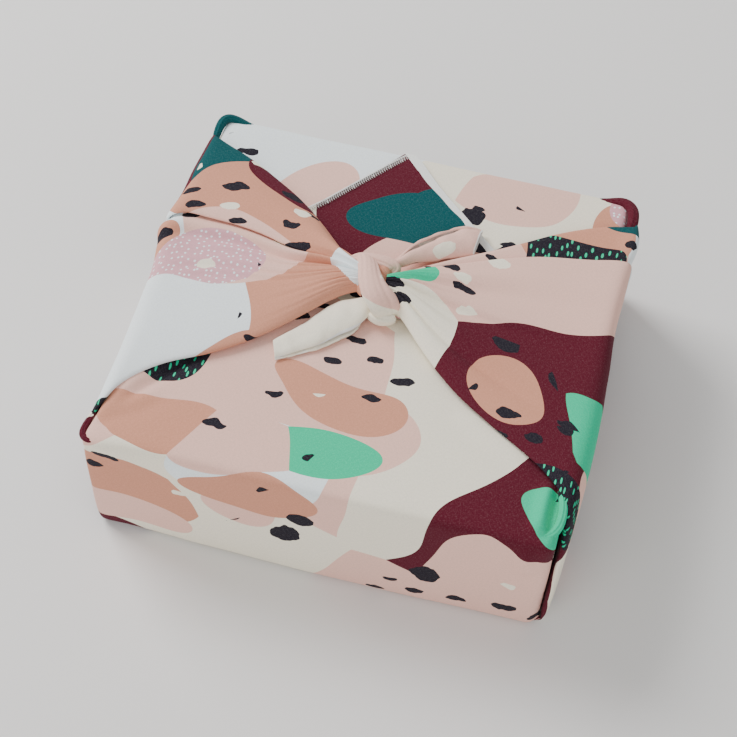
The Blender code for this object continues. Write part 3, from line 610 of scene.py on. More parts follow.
def right_section(row):
    """The front part lies over the rear part, with a pleat between them."""
    out, along, front, back = side_edges(row, 1)
    folded = row.lap > 0
    rise = STEP_RISE * min(1.0, row.fz / STEP_FULL_Z)
    lower = front[-1].lerp(back[-1], row.step)
    swell = swelling(row, lower.y, RIGHT_BULGE)
    lower += out * swell
    upper = lower + out * 2 * rise
    middle = lifted(row, RIGHT_GATHERS, front[-1], upper, out, RIGHT_BULGE, -1, (0.0, swell))
    turn = lower - along * row.lap * (1.0 if folded else FLAT_TURN)
    spread = max(0.0, -row.lap) / 4  # where there is no lap the columns lie side by side
    edge = upper - out * rise / 2 + along * (EDGE_OUT if folded else spread)
    under = lower + out * rise + along * 2 * spread
    step = [upper, edge, under, turn + out * rise * (1.0 if folded else 0.5)]
    room = (back[-1] - lower).length
    knee = lower + along * (min(KNEE, KNEE_SHARE * room) if folded else FLAT_KNEE * spread)
    rest = [turn, knee]
    for share in REST_SHARES:
        point = knee.lerp(back[-1], share)
        swell = swelling(row, point.y, RIGHT_BULGE)
        swell -= swelling(row, knee.y, RIGHT_BULGE) * (1 - share)
        rest.append(point + out * swell)
    return front + middle + step + rest + back[::-1]


EDGE_SHARES = (-0.30, -0.15, -0.05, 0.0, 0.01)  # of a folded edge's columns
EDGE_COLUMNS = len(EDGE_SHARES)
TUCKED = 3  # of a folded edge's columns, those of its turned-under layer
PAST_SHARE, PAST_STEP = 2.0, 0.05
SIDE_MIDDLE = 12  # a column near the middle of either side's sections
FIRST_REACH = len(WALL_ROWS) + 2


def side_spots(sign, sections):
    """Spots of all sections of a side, with their shares across and their reach to the knot."""
    gathers = {-1: LEFT_GATHERS, 1: RIGHT_GATHERS}[sign]
    grid = spots_of(sections, SIDE_MIDDLE, SIDE + WALL_ROWS[0], (sign, 0))
    spare = len(sections[0]) - len(gathers) - 2 * EDGE_COLUMNS
    shares = [*EDGE_SHARES, *(share for share, _ in gathers)]
    shares += [1.0 + PAST_STEP * (i + 1) for i in range(spare)]
    shares += [PAST_SHARE] * EDGE_COLUMNS
    for i, row in enumerate(grid):
        for share, spot in zip(shares, row):
            spot.share = share
            spot.reach = (i - FIRST_REACH) / (len(grid) - 1 - FIRST_REACH)
    return grid


END_COLUMNS = 3  # columns of a wall or flap beyond the panels, each side
RING_COLUMNS = 5  # points round a corner of the base, shared by the wall and the side
MIDDLE_COLUMN = END_COLUMNS + WALL_PANELS.index(0)


def corner_arc(sign_x, sign_y, z, inset, radius, count):
    """Points round an upright corner, from the front or back wall to the side."""
    found = []
    for i in range(count):
        turn = math.pi / 2 * (1 - i / (count - 1))
        x = SIDE - inset - radius + radius * math.cos(turn)
        y = FRONT - inset - radius + radius * math.sin(turn)
        found.append(Vector((sign_x * x, sign_y * y, z)))
    return found


def wall_columns(sign_y, z):
    """The front or back wall at one height, from its left corner to its right one."""
    left, right = (corner_arc(sign_x, sign_y, z, 0, CORNER, END_COLUMNS) for sign_x in (-1, 1))
    return left[::-1] + [Vector((x, sign_y * FRONT, z)) for x in WALL_PANELS] + right


def base_ring(z, inset, radius, sides):
    """The lowest rings: wall and side columns in one loop, with the corners drawn in."""
    arcs = {
        (sign_x, sign_y): corner_arc(sign_x, sign_y, z, inset, radius, RING_COLUMNS)
        for sign_x in (-1, 1)
        for sign_y in (-1, 1)
    }
    walls = {}
    for sign_y in (-1, 1):
        panels = [Vector((x, sign_y * (FRONT - inset), z)) for x in WALL_PANELS]
        left, right = arcs[-1, sign_y][:END_COLUMNS], arcs[1, sign_y][:END_COLUMNS]
        walls[sign_y] = left[::-1] + panels + right
    found = {}
    for sign_x, section in sides.items():
        upper = section[EDGE_COLUMNS:-EDGE_COLUMNS]
        low, high = section[EDGE_COLUMNS - 1].y, section[-EDGE_COLUMNS].y
        points, back = arcs[sign_x, -1][END_COLUMNS:], arcs[sign_x, 1][END_COLUMNS:]
        start = points[1]
        share = 0.0
        for point in upper:
            share = max(share + LEAST_SHARE, (point.y - low) / (high - low))
            points.append(start.lerp(back[1], share))
        found[sign_x] = points + back[::-1]
    return walls, found


MOUTH, MOUTH_SHARE = 6.0, 0.25  # how deep a pleat's slit is before its layers meet


def inner_layer(low, sign_y, z, depth):
    """The pleat's inner layer, from the upright corner back along the side."""
    touching = low.x - math.copysign(1.0, low.x)
    resting = math.copysign(SIDE, low.x)
    mouth = min(MOUTH, depth * MOUTH_SHARE)
    return [
        Vector((x, sign_y * (FRONT - CORNER - run), z))
        for x, run in ((touching, mouth), (touching, depth / 2), (resting, depth))
    ]


# How far down and in the hem and the shoulder of a flap's turned-down sides lie.
RIM_HEM_DROP, RIM_SHOULDER_DROP = 1.5, 1.0
SHOULDER_IN, SHOULDER_DROP = 1.4, 1.2
# Columns beside a flap's slanting edge, which are closer where the flap is narrow.
INSETS, NARROW = (0.0, 2.5, 6.0), 40.0


def flap_row(y, z, hem, shoulder):
    right = [Vector((SIDE - FLAP_INNER, y, z)), Vector(shoulder), Vector(hem)]
    left = [Vector((-p.x, p.y, p.z)) for p in right[::-1]]
    return left + [Vector((x, y, z)) for x in WALL_PANELS] + right


def narrow_row(row):
    """A row between the slanting edges, with two columns each side close to the edge."""
    margin = min(1.0, (row.right - row.left) / NARROW)
    insets = [inset * margin for inset in INSETS]
    first, last = row.left + 2 * insets[-1], row.right - 2 * insets[-1]
    count = len(WALL_PANELS)
    columns = [row.left + inset for inset in insets]
    columns += [between(first, last, i / (count - 1)) for i in range(count)]
    columns += [row.right - inset for inset in insets[::-1]]
    return [Vector((x, row.y, row.z)) for x in columns]


def flap_rows(sign_y, top, narrowing):
    """A flap from over the rim to its tip: its full width first, then narrowing."""
    rows = []
    for row in rows_of(RIM_FIELDS, RIM_ROWS):
        y, z = sign_y * (FRONT - row.back), top - row.drop
        hem = (SIDE, sign_y * (FRONT - row.hem_back), min(z - RIM_HEM_DROP, VALANCE_Z))
        shoulder_y = sign_y * (FRONT - row.shoulder_back)
        shoulder = (SIDE - row.shoulder, shoulder_y, z - RIM_SHOULDER_DROP)
        rows.append(flap_row(y, z, hem, shoulder))
    for distance in FLAP_FULL_ROWS:
        y = sign_y * distance
        shoulder = (SIDE - SHOULDER_IN, y, top - SHOULDER_DROP)
        rows.append(flap_row(y, top, (SIDE, y, VALANCE_Z), shoulder))
    for row in rows_of(FADE_FIELDS, FLAP_FADE_ROWS):
        y = sign_y * row.y
        hem = (SIDE - row.hem_in, y, top - row.hem_drop)
        rows.append(flap_row(y, top, hem, (SIDE - row.shoulder, y, top - row.shoulder_drop)))
    return rows + [narrow_row(row) for row in narrowing]


def add_wall_and_flap(cloth, sign_y, low_rows, top, narrowing):
    """The front or back of the sheet in one run, from the base up and over to the tip."""
    rows = low_rows + [wall_columns(sign_y, z) for z in WALL_ROWS]
    rows += flap_rows(sign_y, top, narrowing)
    grid = spots_of(rows, MIDDLE_COLUMN, FRONT, (0, sign_y))
    for row in grid:
        for spot in row:
            spot.flat = (spot.flat[0] + row[MIDDLE_COLUMN].point.x, spot.flat[1])
    if sign_y < 0:
        for row in grid[-len(narrowing) :]:
            for spot in row:
                spot.margin = (row[-1].point.x - spot.point.x) * math.sqrt(0.5)
    cloth.grid(grid)
    return grid


def add_pleat(cloth, sign_x, sign_y, side_grid, wall_grid, low_sides):
    """One corner: the bridge below the pleat and the layers that fold back behind the edge."""
    column = {-1: 0, 1: -1}[sign_x]
    side_end = {-1: 0, 1: -1}[sign_y]
    rings = len(BASE_RINGS)
    sides = [row[::-sign_y] for row in side_grid]  # from this corner on
    corners = [row[column] for row in wall_grid]
    edges = [row[side_end] for row in low_sides] + [sides[0][TUCKED]]
    cloth.grid([[a, b] for a, b in zip(corners, edges)])
    rows = []
    for i, z in enumerate(WALL_ROWS):
        end, half, low, edge = sides[i][:4]
        lift = Vector((0, 0, PLEAT_START if i == 0 else 0))
        depth = (FRONT - CORNER) - abs(end.point.y)
        inner = [
            Spot(point, (end.flat[0], end.flat[1] + point.y - end.point.y))
            for point in inner_layer(low.point, sign_y, z + lift.z, depth)
        ]
        raised = [Spot(s.point + lift, s.flat, s.share, s.reach) for s in (end, half, low)]
        rows.append([corners[rings + i]] + inner + raised + [edge])
    cloth.grid(rows)
    top = rings + len(WALL_ROWS)
    near = corners[top : top + len(RIM_ROWS)]
    corner, mouth, half, end = rows[-1][:4]
    cloth.face([corner, mouth] + near[::-1])
    cloth.face([mouth, half, end, corners[top + len(RIM_ROWS)], near[-1]])


def folded_sheet():
    """The whole cloth but the knot and its tails, as one open surface."""
    cloth = Sheet()
    sections = {
        -1: [left_section(row) for row in rows_of(SIDE_FIELDS, LEFT_ROWS)],
        1: [right_section(row) for row in rows_of(SIDE_FIELDS, RIGHT_ROWS)],
    }
    first = {sign: rows[0] for sign, rows in sections.items()}
    rings = [base_ring(*ring, first) for ring in BASE_RINGS]
    grids = {}
    for sign_y, top, table in (
        (-1, FRONT_FLAP_Z, FRONT_FLAP_ROWS),
        (1, BACK_FLAP_Z, BACK_FLAP_ROWS),
    ):
        low = [walls[sign_y] for walls, _ in rings]
        grids[sign_y] = add_wall_and_flap(cloth, sign_y, low, top, rows_of(FLAP_FIELDS, table))
    low_sides = {}
    for sign_x in (-1, 1):
        low = [found[sign_x] for _, found in rings]
        low_sides[sign_x] = spots_of(low, SIDE_MIDDLE - TUCKED, SIDE, (sign_x, 0))
        side_grid = side_spots(sign_x, sections[sign_x])
        walls = len(WALL_ROWS)
        cloth.grid(low_sides[sign_x] + [side_grid[0][TUCKED:-TUCKED]])
        cloth.grid([row[TUCKED:-TUCKED] for row in side_grid[:walls]])
        cloth.grid(side_grid[walls - 1 :])
        for sign_y in (-1, 1):
            add_pleat(cloth, sign_x, sign_y, side_grid, grids[sign_y], low_sides[sign_x])
    floor = grids[-1][0] + low_sides[1][0] + grids[1][0][::-1] + low_sides[-1][0][::-1]
    cloth.face([Spot(s.point, (s.point.x, s.point.y)) for s in floor])
    return cloth


# Finishing a piece

BUMP_FIELDS = "pitch seed depth"
CLOTH_BUMPS = ((46.0, 1, 0.35), (19.0, 2, 0.10))
TAIL_BUMPS = ((11.0, 3, 0.7), (5.0, 5, 0.25))
SETTLED_Z = 1.5  # below this height the cloth lies on the floor and isn't moved
EVEN_Z = (1.0, 3.5)  # between these heights the soft unevenness fades in
GATHER_WAVES, GATHER_DEPTH = (24, 2.5, 9), 1.4
GATHER_REACH = (0.55, 0.95)
HEM_SHARE = 0.04  # of a section, at each end, where the creases fade
CREASE_FADE, CREASE_END = 0.25, (0.98, 1.08)
RIDGE, RIDGE_AT, RIDGE_WIDTH = 0.55, 1.9, 1.2  # the ridge beside a crease, in its widths
WALL_DEPTH = 8.0  # what lies this near to the front is of the front wall
SWELL_AT, FOLD_WIDTH = 1.3, 0.6  # the swelling beside a flat fold, and the fold, in its widths
FOLD_START, FOLD_END = (-0.05, 0.22), (0.65, 1.05)  # where along its line a fold fades
WING_SHARE = -0.5  # spots of the wings have a share above this


def deselect():
    for made in bpy.context.selected_objects:
        made.select_set(False)


def values_of(items, name, width):
    """A property of each of a mesh's items, as an array."""
    flat = np.empty(len(items) * width, np.float32)
    items.foreach_get(name, flat)
    return flat.astype(float)


def coordinates(mesh):
    return values_of(mesh.vertices, "co", 3).reshape(-1, 3)


def normals(mesh):
    return values_of(mesh.vertices, "normal", 3).reshape(-1, 3)


def attribute(mesh, name):
    return values_of(mesh.attributes[name].data, "value", 1)


def store(mesh, points):
    mesh.vertices.foreach_set("co", points.astype(np.float32).ravel())
    mesh.update()


def rumpled(points, pitch, seed):
    """Smooth noise from -1 to 1 at each point, with bumps about pitch millimetres apart."""
    shift = Vector((seed * 7.3, seed * 3.1, seed * 1.7))
    return np.array([noise.noise(Vector(p) / (pitch * MM) + shift) for p in points])


def uneven(points, bumps):
    """Noise at each point, summed over a table of bumps."""
    return sum(rumpled(points, row.pitch, row.seed) * row.depth for row in bumps)


def add_creases(mesh, depth_share):
    """Moves the cloth by small folds: the wings' creases and soft unevenness elsewhere."""
    points = coordinates(mesh)
    share = attribute(mesh, "share")
    reach = attribute(mesh, "reach")
    side = np.sign(points[:, 0])
    move = np.zeros(len(points))
    for row in rows_of(CREASE_FIELDS, CREASES):
        centre = row.rim_share + (row.knot_share - row.rim_share) * reach
        offset = (share - centre) / (row.width * (1.6 - 0.4 * reach))
        window = smooth_step(row.start, row.start + CREASE_FADE, reach)
        window *= 1 - smooth_step(*CREASE_END, reach)
        ridge = RIDGE * np.exp(-(((offset - RIDGE_AT) / RIDGE_WIDTH) ** 2))
        valley = ridge - np.exp(-(offset**2))
        move += np.where(side == row.side, valley * window * row.depth, 0.0)
    inside = smooth_step(0.0, HEM_SHARE, share) * (1 - smooth_step(1 - HEM_SHARE, 1.0, share))
    waves = np.column_stack([share, reach, side]) * GATHER_WAVES
    fine = np.abs(rumpled(waves * MM, 1.0, 4))
    move += (0.25 - fine) * GATHER_DEPTH * smooth_step(*GATHER_REACH, reach)
    points[:, 2] += np.where(share > WING_SHARE, move * inside * MM * depth_share, 0.0)
    soft = uneven(points, rows_of(BUMP_FIELDS, CLOTH_BUMPS))
    soft *= smooth_step(*EVEN_Z, points[:, 2] / MM)
    points += normals(mesh) * (soft * MM * depth_share)[:, None]
    store(mesh, points)


def add_flat_folds(mesh, depth_share):
    """Folds along straight lines of the front wall and the front half of the top."""
    points = coordinates(mesh) / MM
    plain_cloth = attribute(mesh, "share") < WING_SHARE
    wall = plain_cloth & (points[:, 1] < WALL_DEPTH - FRONT) & (points[:, 2] > BASE_RINGS[1][0])
    top = plain_cloth & (points[:, 2] > BACK_FLAP_Z) & ~wall
    for row in rows_of(FOLD_FIELDS, FLAT_FOLDS):
        on_wall = row.face == "wall"
        flat = points[:, (0, 2) if on_wall else (0, 1)]
        start, end = np.array((row.ax, row.ay)), np.array((row.bx, row.by))
        length = np.linalg.norm(end - start)
        along = (end - start) / length
        run = (flat - start) @ along / length
        off = (flat - start) @ np.array((-along[1], along[0])) / row.width
        window = smooth_step(*FOLD_START, run) * (1 - smooth_step(*FOLD_END, run))
        move = row.swell * np.exp(-((off - SWELL_AT) ** 2))
        move -= row.depth * np.exp(-((off / FOLD_WIDTH) ** 2))
        move = np.where(wall if on_wall else top, move * window * depth_share, 0.0)
        points[:, 1 if on_wall else 2] += -move if on_wall else move
    store(mesh, points * MM)


def add_nudges(mesh):
    """Moves soft-edged regions of the cloth, but for what lies on the floor."""
    points = coordinates(mesh) / MM
    moved = points.copy()
    for row in rows_of(NUDGE_FIELDS, NUDGES):
        apart = (points - (row.x, row.y, row.z)) / (row.rx, row.ry, row.rz)
        weight = np.exp(-(apart**2).sum(axis=1))
        moved += weight[:, None] * np.array((row.dx, row.dy, row.dz))
    moved[:, 2] = np.where(points[:, 2] < SETTLED_Z, points[:, 2], moved[:, 2])
    store(mesh, moved * MM)


def add_sheet_folds(mesh, depth_share):
    add_flat_folds(mesh, depth_share)
    add_nudges(mesh)
    add_creases(mesh, depth_share)


def add_ruffle(mesh, depth_share):
    """Uneven folds of a loose tail."""
    points = coordinates(mesh)
    soft = uneven(points, rows_of(BUMP_FIELDS, TAIL_BUMPS))
    points += normals(mesh) * (soft * MM * depth_share)[:, None]
    store(mesh, points)


def face_outwards(mesh):
    """Turns all faces if the sheet's front wall faces inwards."""
    shape = bmesh.new()
    shape.from_mesh(mesh)
    wall = min(shape.faces, key=lambda f: f.calc_center_median().y)
    if wall.normal.y > 0:
        bmesh.ops.reverse_faces(shape, faces=shape.faces)
    shape.to_mesh(mesh)
    shape.free()
    return mesh


def apply_modifier(made, kind, **settings):
    modifier = made.modifiers.new(kind.lower(), kind)
    for name, value in settings.items():
        setattr(modifier, name, value)
    bpy.ops.object.modifier_apply(modifier=modifier.name)


def add_piece(mesh, levels=0, folded=None):
    """A piece of the cloth: printed, rounded by levels of subdivision and set in its place.
    A piece that is an open surface has folded, which moves its points before it is thickened."""
    sizes = bpy.context.scene.furoshiki_sizes
    made = bpy.data.objects.new(mesh.name, mesh)
    bpy.context.scene.collection.objects.link(made)
    deselect()
    made.select_set(True)
    bpy.context.view_layer.objects.active = made
    for name, paler in (("printed_cotton_front", 0.0), ("printed_cotton_reverse", REVERSE_PALER)):
        made.data.materials.append(bpy.data.materials.get(name) or cotton(name, paler))
    if levels:
        steps = {"levels": levels, "render_levels": levels}
        apply_modifier(made, "SUBSURF", boundary_smooth="PRESERVE_CORNERS", **steps)
    if folded:
        folded(made.data, sizes.creasing)
        apply_modifier(made, "SOLIDIFY", thickness=sizes.thickness, offset=0.0, material_offset=1)
    made.data.shade_smooth()
    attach(made, BODY)
    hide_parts(CLOTH_NODE)


# The knot, its tails and the overlock

BETWEEN_ROWS = 4  # steps from one row of a strand's or tail's table to the next
FLAT_ROUND = 1.4  # flat cloth round a strand, as a share of its width and thickness
FOLD_GIVE = 0.12  # how far a fold's cloth swells the rest of the strand, as a share of it
CORE_PLACE = (40.0, 60.0)
CORE_STEPS, CORE_SIDES = 8, 16
TAIL_MIDDLE = 7  # the column at a tail's fold
THREAD_SIDES = 5


def refined(fields, table):
    """A table's rows with smooth in-between rows, by a curve through them."""
    table = np.array(table, float)
    padded = np.vstack([2 * table[0] - table[1], table, 2 * table[-1] - table[-2]])
    found = []
    for i in range(1, len(padded) - 2):
        a, b, c, d = padded[i - 1 : i + 3]
        for step in range(BETWEEN_ROWS):
            t = step / BETWEEN_ROWS
            value = 2 * b + (c - a) * t + (2 * a - 5 * b + 4 * c - d) * t * t
            value += (3 * b - a - 3 * c + d) * t**3
            found.append(value / 2)
    return rows_of(fields, [*found, table[-1]])


def path_frames(rows):
    """Centre, width direction and thickness direction at each row of a strand."""
    centres = [Vector((row.x, row.y, row.z)) for row in rows]
    frames = []
    for i, row in enumerate(rows):
        ahead = centres[min(i + 1, len(rows) - 1)] - centres[max(i - 1, 0)]
        turn = math.radians(row.across)
        across = Vector((math.cos(turn), math.sin(turn), 0))
        across = (across - ahead.normalized() * across.dot(ahead.normalized())).normalized()
        frames.append((centres[i], across, across.cross(ahead).normalized()))
    return frames


def add_strand(sheet, table, place, way, folds, twist):
    """A rolled strand: an oval tube with folds along it that turn by twist from end to end."""
    rows = refined(STRAND_FIELDS, table)
    frames = path_frames(rows)
    runs = distances([centre for centre, _, _ in frames])
    rings = []
    for i, (row, run, (centre, across, up)) in enumerate(zip(rows, runs, frames)):
        turned = twist * i / len(rows)
        upper = math.copysign(1.0, up.z)  # the folds lie on the side that is seen
        ring = []
        for k in range(STRAND_SIDES + 1):
            turn = 2 * math.pi * k / STRAND_SIDES
            groove = 0.0
            for at, depth, spread in folds:
                apart = math.remainder(turn - upper * (at + turned), 2 * math.pi)
                groove += depth * (math.exp(-((apart / spread) ** 2)) - FOLD_GIVE)
            wide = across * math.cos(turn) * (row.width / 2 - groove * 0.5)
            high = up * math.sin(turn) * (row.thick / 2 - groove)
            around = (k / STRAND_SIDES - 0.5) * (row.width + row.thick) * FLAT_ROUND
            flat = Vector(place) + Vector(way) * run + Vector((way[1], -way[0])) * around
            ring.append(Spot(centre + wide + high, flat))
        rings.append(ring)
    sheet.tube(rings)


def add_core(sheet):
    """The ball that the knot's strands lie on."""
    rings = []
    for i in range(CORE_STEPS + 1):
        low = math.pi * (i / CORE_STEPS - 0.5)
        ring = []
        for k in range(CORE_SIDES + 1):
            turn = 2 * math.pi * k / CORE_SIDES
            unit = (math.cos(low) * math.cos(turn), math.cos(low) * math.sin(turn), math.sin(low))
            point = Vector(c + r * p for c, r, p in zip(CORE_MIDDLE, CORE_RADII, Vector(unit)))
            ring.append(Spot(point, (CORE_PLACE[0] + point.x, CORE_PLACE[1] + point.y)))
        rings.append(ring)
    sheet.grid(rings)


def tail_section(row):
    """Across a tail, from the lower layer's open edge round the fold to the upper one's."""
    turn = math.radians(row.across)
    across = Vector((math.cos(turn), math.sin(turn), 0))
    fold = Vector((row.x, row.y, row.z))
    tip = min(1.6, row.lower * 0.12)
    half = row.half
    return [
        fold + across * shift + Vector((0, 0, rise))
        for shift, rise in (
            (row.lower - 1.9 * tip, row.curl * 1.05 - half),
            (row.lower - tip, row.curl * 1.25 - half),
            (row.lower, row.curl * 0.7 - half),
            (row.lower - 0.7 * tip, row.curl * 0.15 - half),
            (row.lower * 0.72, -half),
            (row.lower * 0.40, -half),
            (row.lower * 0.10, -half * 0.9),
            (-0.6, 0.0),
            (row.upper * 0.08, half * 0.95),
            (row.upper * 0.30, half + row.puff * 0.7),
            (row.upper * 0.55, half + row.puff),
            (row.upper * 0.80, half + row.puff * 0.7),
            (row.upper - 0.8, half * 0.7),
            (row.upper, half * 0.1),
        )
    ]


def tail_sheet(table, place):
    """A tail as one folded strip. Its margin is taken while its flat places are being moved,
    so that only the end and the upper layer's open edge come out bare."""
    sheet = Sheet()
    sections = [tail_section(row) for row in refined(TAIL_FIELDS, table)]
    grid = spots_of(sections, TAIL_MIDDLE, 0.0, (1, 0))
    for row in grid:
        for spot in row:
            end = grid[-1][0].flat[0] - spot.flat[0]
            edge = min(abs(spot.flat[1] - row[0].flat[1]), abs(row[-1].flat[1] - spot.flat[1]))
            spot.margin = min(end, edge) + TAIL_MARGIN
            spot.flat = (spot.flat[0] + place[0], spot.flat[1] + place[1])
    sheet.grid(grid)
    return sheet


def add_thread(sheet, points, radius):
    """A round thread through points."""
    rings = []
    for i, point in enumerate(points):
        ahead = points[min(i + 1, len(points) - 1)] - points[max(i - 1, 0)]
        across = ahead.cross(Vector((0, 0, 1))).normalized()
        up = across.cross(ahead).normalized()
        ring = []
        for k in range(THREAD_SIDES + 1):
            turn = 2 * math.pi * k / THREAD_SIDES
            reach = across * math.cos(turn) + up * math.sin(turn)
            ring.append(Spot(point + reach * radius, THREAD_PLACE, margin=0.0))
        rings.append(ring)
    sheet.tube(rings)


def overlock_sheet():
    """The overlocked left edge of the front flap: a zigzag thread and one along the edge."""
    sheet = Sheet()
    rows = [row for row in rows_of(FLAP_FIELDS, FRONT_FLAP_ROWS) if row.y > OVERLOCK_START_Y]
    for low, high in zip(rows, rows[1:]):
        start, end = (Vector((row.left, row.y, row.z + CAD_CLOTH)) for row in (low, high))
        ahead = (end - start).normalized()
        inward = Vector((ahead.y, -ahead.x, 0)) * STITCH_DEPTH
        lines = ((start + inward, end + inward), (start, end))
        last = 2 * round((end - start).length / STITCH_PITCH)
        zigzag = [lines[i % 2][0].lerp(lines[i % 2][1], i / last) for i in range(last + 1)]
        add_thread(sheet, zigzag, THREAD)
        edge = [start.lerp(end, i / EDGE_THREAD_STEPS) for i in range(EDGE_THREAD_STEPS + 1)]
        add_thread(sheet, edge, EDGE_THREAD)
    return sheet


# Finishes

REVERSE_PALER = 0.5
# Of the shapes scattered on the cloth: how many lie along a metre, how the scatter is turned,
# stretched and shifted, and their inks, each with its share of them.
LAYER_FIELDS = "scale turn stretch_x stretch_y shift_x shift_y inks"
FIELD_INKS = "cream 3 burgundy 4 blush 4 tan 3 off_white 1 cream 2 teal 1.3"
PEBBLE_INKS = "blush 3 burgundy 2 off_white 2 tan 2 cream 3 mint 1"
LEAF_INKS = "mint 2 cream 1 teal 1 dusty_pink 1 tan 1 charcoal 2 blush 1"
LAYERS = (
    (6.5, 0.4, 1.0, 1.0, 0.91, 0.31, FIELD_INKS),
    (8.5, 0.6, 1.0, 1.35, 0.031, 0.017, PEBBLE_INKS),
    (15.0, -0.9, 0.55, 1.3, 0.4, 0.23, LEAF_INKS),
)
# Radii as a share of the distance between shapes; a shape's own chance adds to some.
PEBBLE_RADIUS, PEBBLE_MORE = 0.20, 0.22
LEAF_RADIUS, LEAVES_BARE = 0.34, 0.66
CHIP_MORE = 0.10
# Marks on the leaves of one ink, which are those whose kind lies between low and high.
MARK_FIELDS = "low high ink turn stretch scale loose radius"
LEAF_MARKS = (
    (0.4444, 0.5556, "off_white", 0.0, 1.0, 230.0, 0.7, 0.17),
    (0.6667, 0.8889, "mint", 0.5, 0.33, 300.0, 0.6, 0.20),
)
# Small chips in clusters; bare is the share of them that is left out.
CHIP_FIELDS = "turn scale stretch radius ink bare"
CHIPS = (
    (0.35, 33.0, 2.3, 0.17, "charcoal", 0.62),
    (1.1, 24.0, 1.2, 0.17, "charcoal", 0.72),
    (-0.5, 27.0, 1.8, 0.13, "cream", 0.62),
)
CHIP_SHIFT = (0.13, 0.77)
CLUSTER_SCALE, CLUSTERS_BARE = 7.5, 0.545
# Noise that bends the large shapes and frays the chips: scale, detail and reach in metres.
BEND = (9.0, 1.0, 0.05)
FRAY = (85.0, 2.0, 0.0065)
BARE_MARGIN, BARE_WAVER = 7.0, 4.0  # width of the bare edge in millimetres, and its waver
RIPPLE_SCALE = 45.0
FLECK = (700.0, 3.0)  # scale and detail
THREAD_BARE = 0.07  # how far bare thread shows through the ink
THREAD_TURN = math.pi / 4
THREAD_SCALE = 2400.0
WAVE_BANDS = 0.31  # bands of the wave texture for each metre, times the pitch


def arithmetic(operation):
    """A method that adds a Math node."""

    def method(self, other):
        return self.finish.node("ShaderNodeMath", {"operation": operation}, {0: self, 1: other})

    return method


class Value:
    """One socket of a material; arithmetic on it adds Math nodes."""

    def __init__(self, finish, socket):
        self.finish = finish
        self.socket = socket

    __add__ = arithmetic("ADD")
    __sub__ = arithmetic("SUBTRACT")
    __mul__ = arithmetic("MULTIPLY")
    __lt__ = arithmetic("LESS_THAN")
    __gt__ = arithmetic("GREATER_THAN")


class Finish:
    """A material under construction."""

    def __init__(self, name):
        self.material = bpy.data.materials.new(name)
        self.material.use_nodes = True
        self.tree = self.material.node_tree
        self.shader = self.tree.nodes["Principled BSDF"]

    def fill(self, socket, value):
        if isinstance(value, Value):
            self.tree.links.new(value.socket, socket)
        else:
            socket.default_value = value

    def node(self, kind, settings=None, inputs=None, output=0):
        """Adds a node, makes its settings, fills its sockets and gives one output."""
        made = self.tree.nodes.new(kind)
        for name, value in (settings or {}).items():
            setattr(made, name, value)
        for name, value in (inputs or {}).items():
            self.fill(made.inputs[name], value)
        return Value(self, made.outputs[output])

    def set(self, **values):
        """Fills the shader's sockets, named with _ for a space."""
        for name, value in values.items():
            self.fill(self.shader.inputs[name.replace("_", " ")], value)

    def place(self):
        return self.node("ShaderNodeTexCoord", output="Object")

    def vector(self, operation, first, second):
        return self.node("ShaderNodeVectorMath", {"operation": operation}, {0: first, 1: second})

    def moved(self, vector, turn=0.0, scale=(1, 1, 1), shift=(0, 0, 0)):
        inputs = {"Vector": vector, "Rotation": (0, 0, turn), "Scale": scale, "Location": shift}
        return self.node("ShaderNodeMapping", None, inputs)

    def waved(self, vector, scale, detail, reach):
        """The vector moved to and fro by noise."""
        wave = self.speckle(vector, scale, detail, "Color")
        wave = self.vector("SUBTRACT", wave, (0.5, 0.5, 0.5))
        wave = self.vector("MULTIPLY", wave, (reach, reach, 0.0))
        return self.vector("ADD", vector, wave)

    def mixed(self, factor, first, second, blend="MIX"):
        """second over first where factor is 1."""
        settings = {"data_type": "RGBA", "blend_type": blend}
        return self.node("ShaderNodeMix", settings, {0: factor, 6: first, 7: second}, 2)

    def shaded(self, colour, shade):
        tint = self.node("ShaderNodeCombineColor", None, {0: shade, 1: shade, 2: shade})
        return self.mixed(1.0, colour, tint, "MULTIPLY")

    def speckle(self, vector, scale, detail, output=0, dimensions="2D"):
        inputs = {"Vector": vector, "Scale": scale, "Detail": detail}
        return self.node("ShaderNodeTexNoise", {"noise_dimensions": dimensions}, inputs, output)

    def cells(self, vector, scale, output, loose=1.0):
        inputs = {"Vector": vector, "Scale": scale, "Randomness": loose}
        return self.node("ShaderNodeTexVoronoi", {"voronoi_dimensions": "2D"}, inputs, output)

    def scattered(self, vector, scale):
        """The distance to the nearest of scattered points, and that point's three chances."""
        colour = self.cells(vector, scale, "Color")
        kind = "ShaderNodeSeparateColor"
        chances = [self.node(kind, None, {"Color": colour}, i) for i in range(3)]
        return self.cells(vector, scale, "Distance"), chances

    def picked(self, factor, ink, inks):
        """The ink whose share of the range from 0 to 1 holds factor."""
        names, weights = inks.split()[::2], [float(weight) for weight in inks.split()[1::2]]
        ramp = self.tree.nodes.new("ShaderNodeValToRGB")
        ramp.color_ramp.interpolation = "CONSTANT"
        elements = ramp.color_ramp.elements
        while len(elements) < len(names):
            elements.new(1.0)
        at = 0.0
        for element, name, weight in zip(elements, names, weights):
            element.position = at
            element.color = getattr(ink, name)
            at += weight / sum(weights)
        self.fill(ramp.inputs["Fac"], factor)
        return Value(self, ramp.outputs["Color"])

    def bump(self, strength, height):
        inputs = {"Strength": strength, "Distance": 0.0002, "Height": height}
        return self.node("ShaderNodeBump", None, inputs)


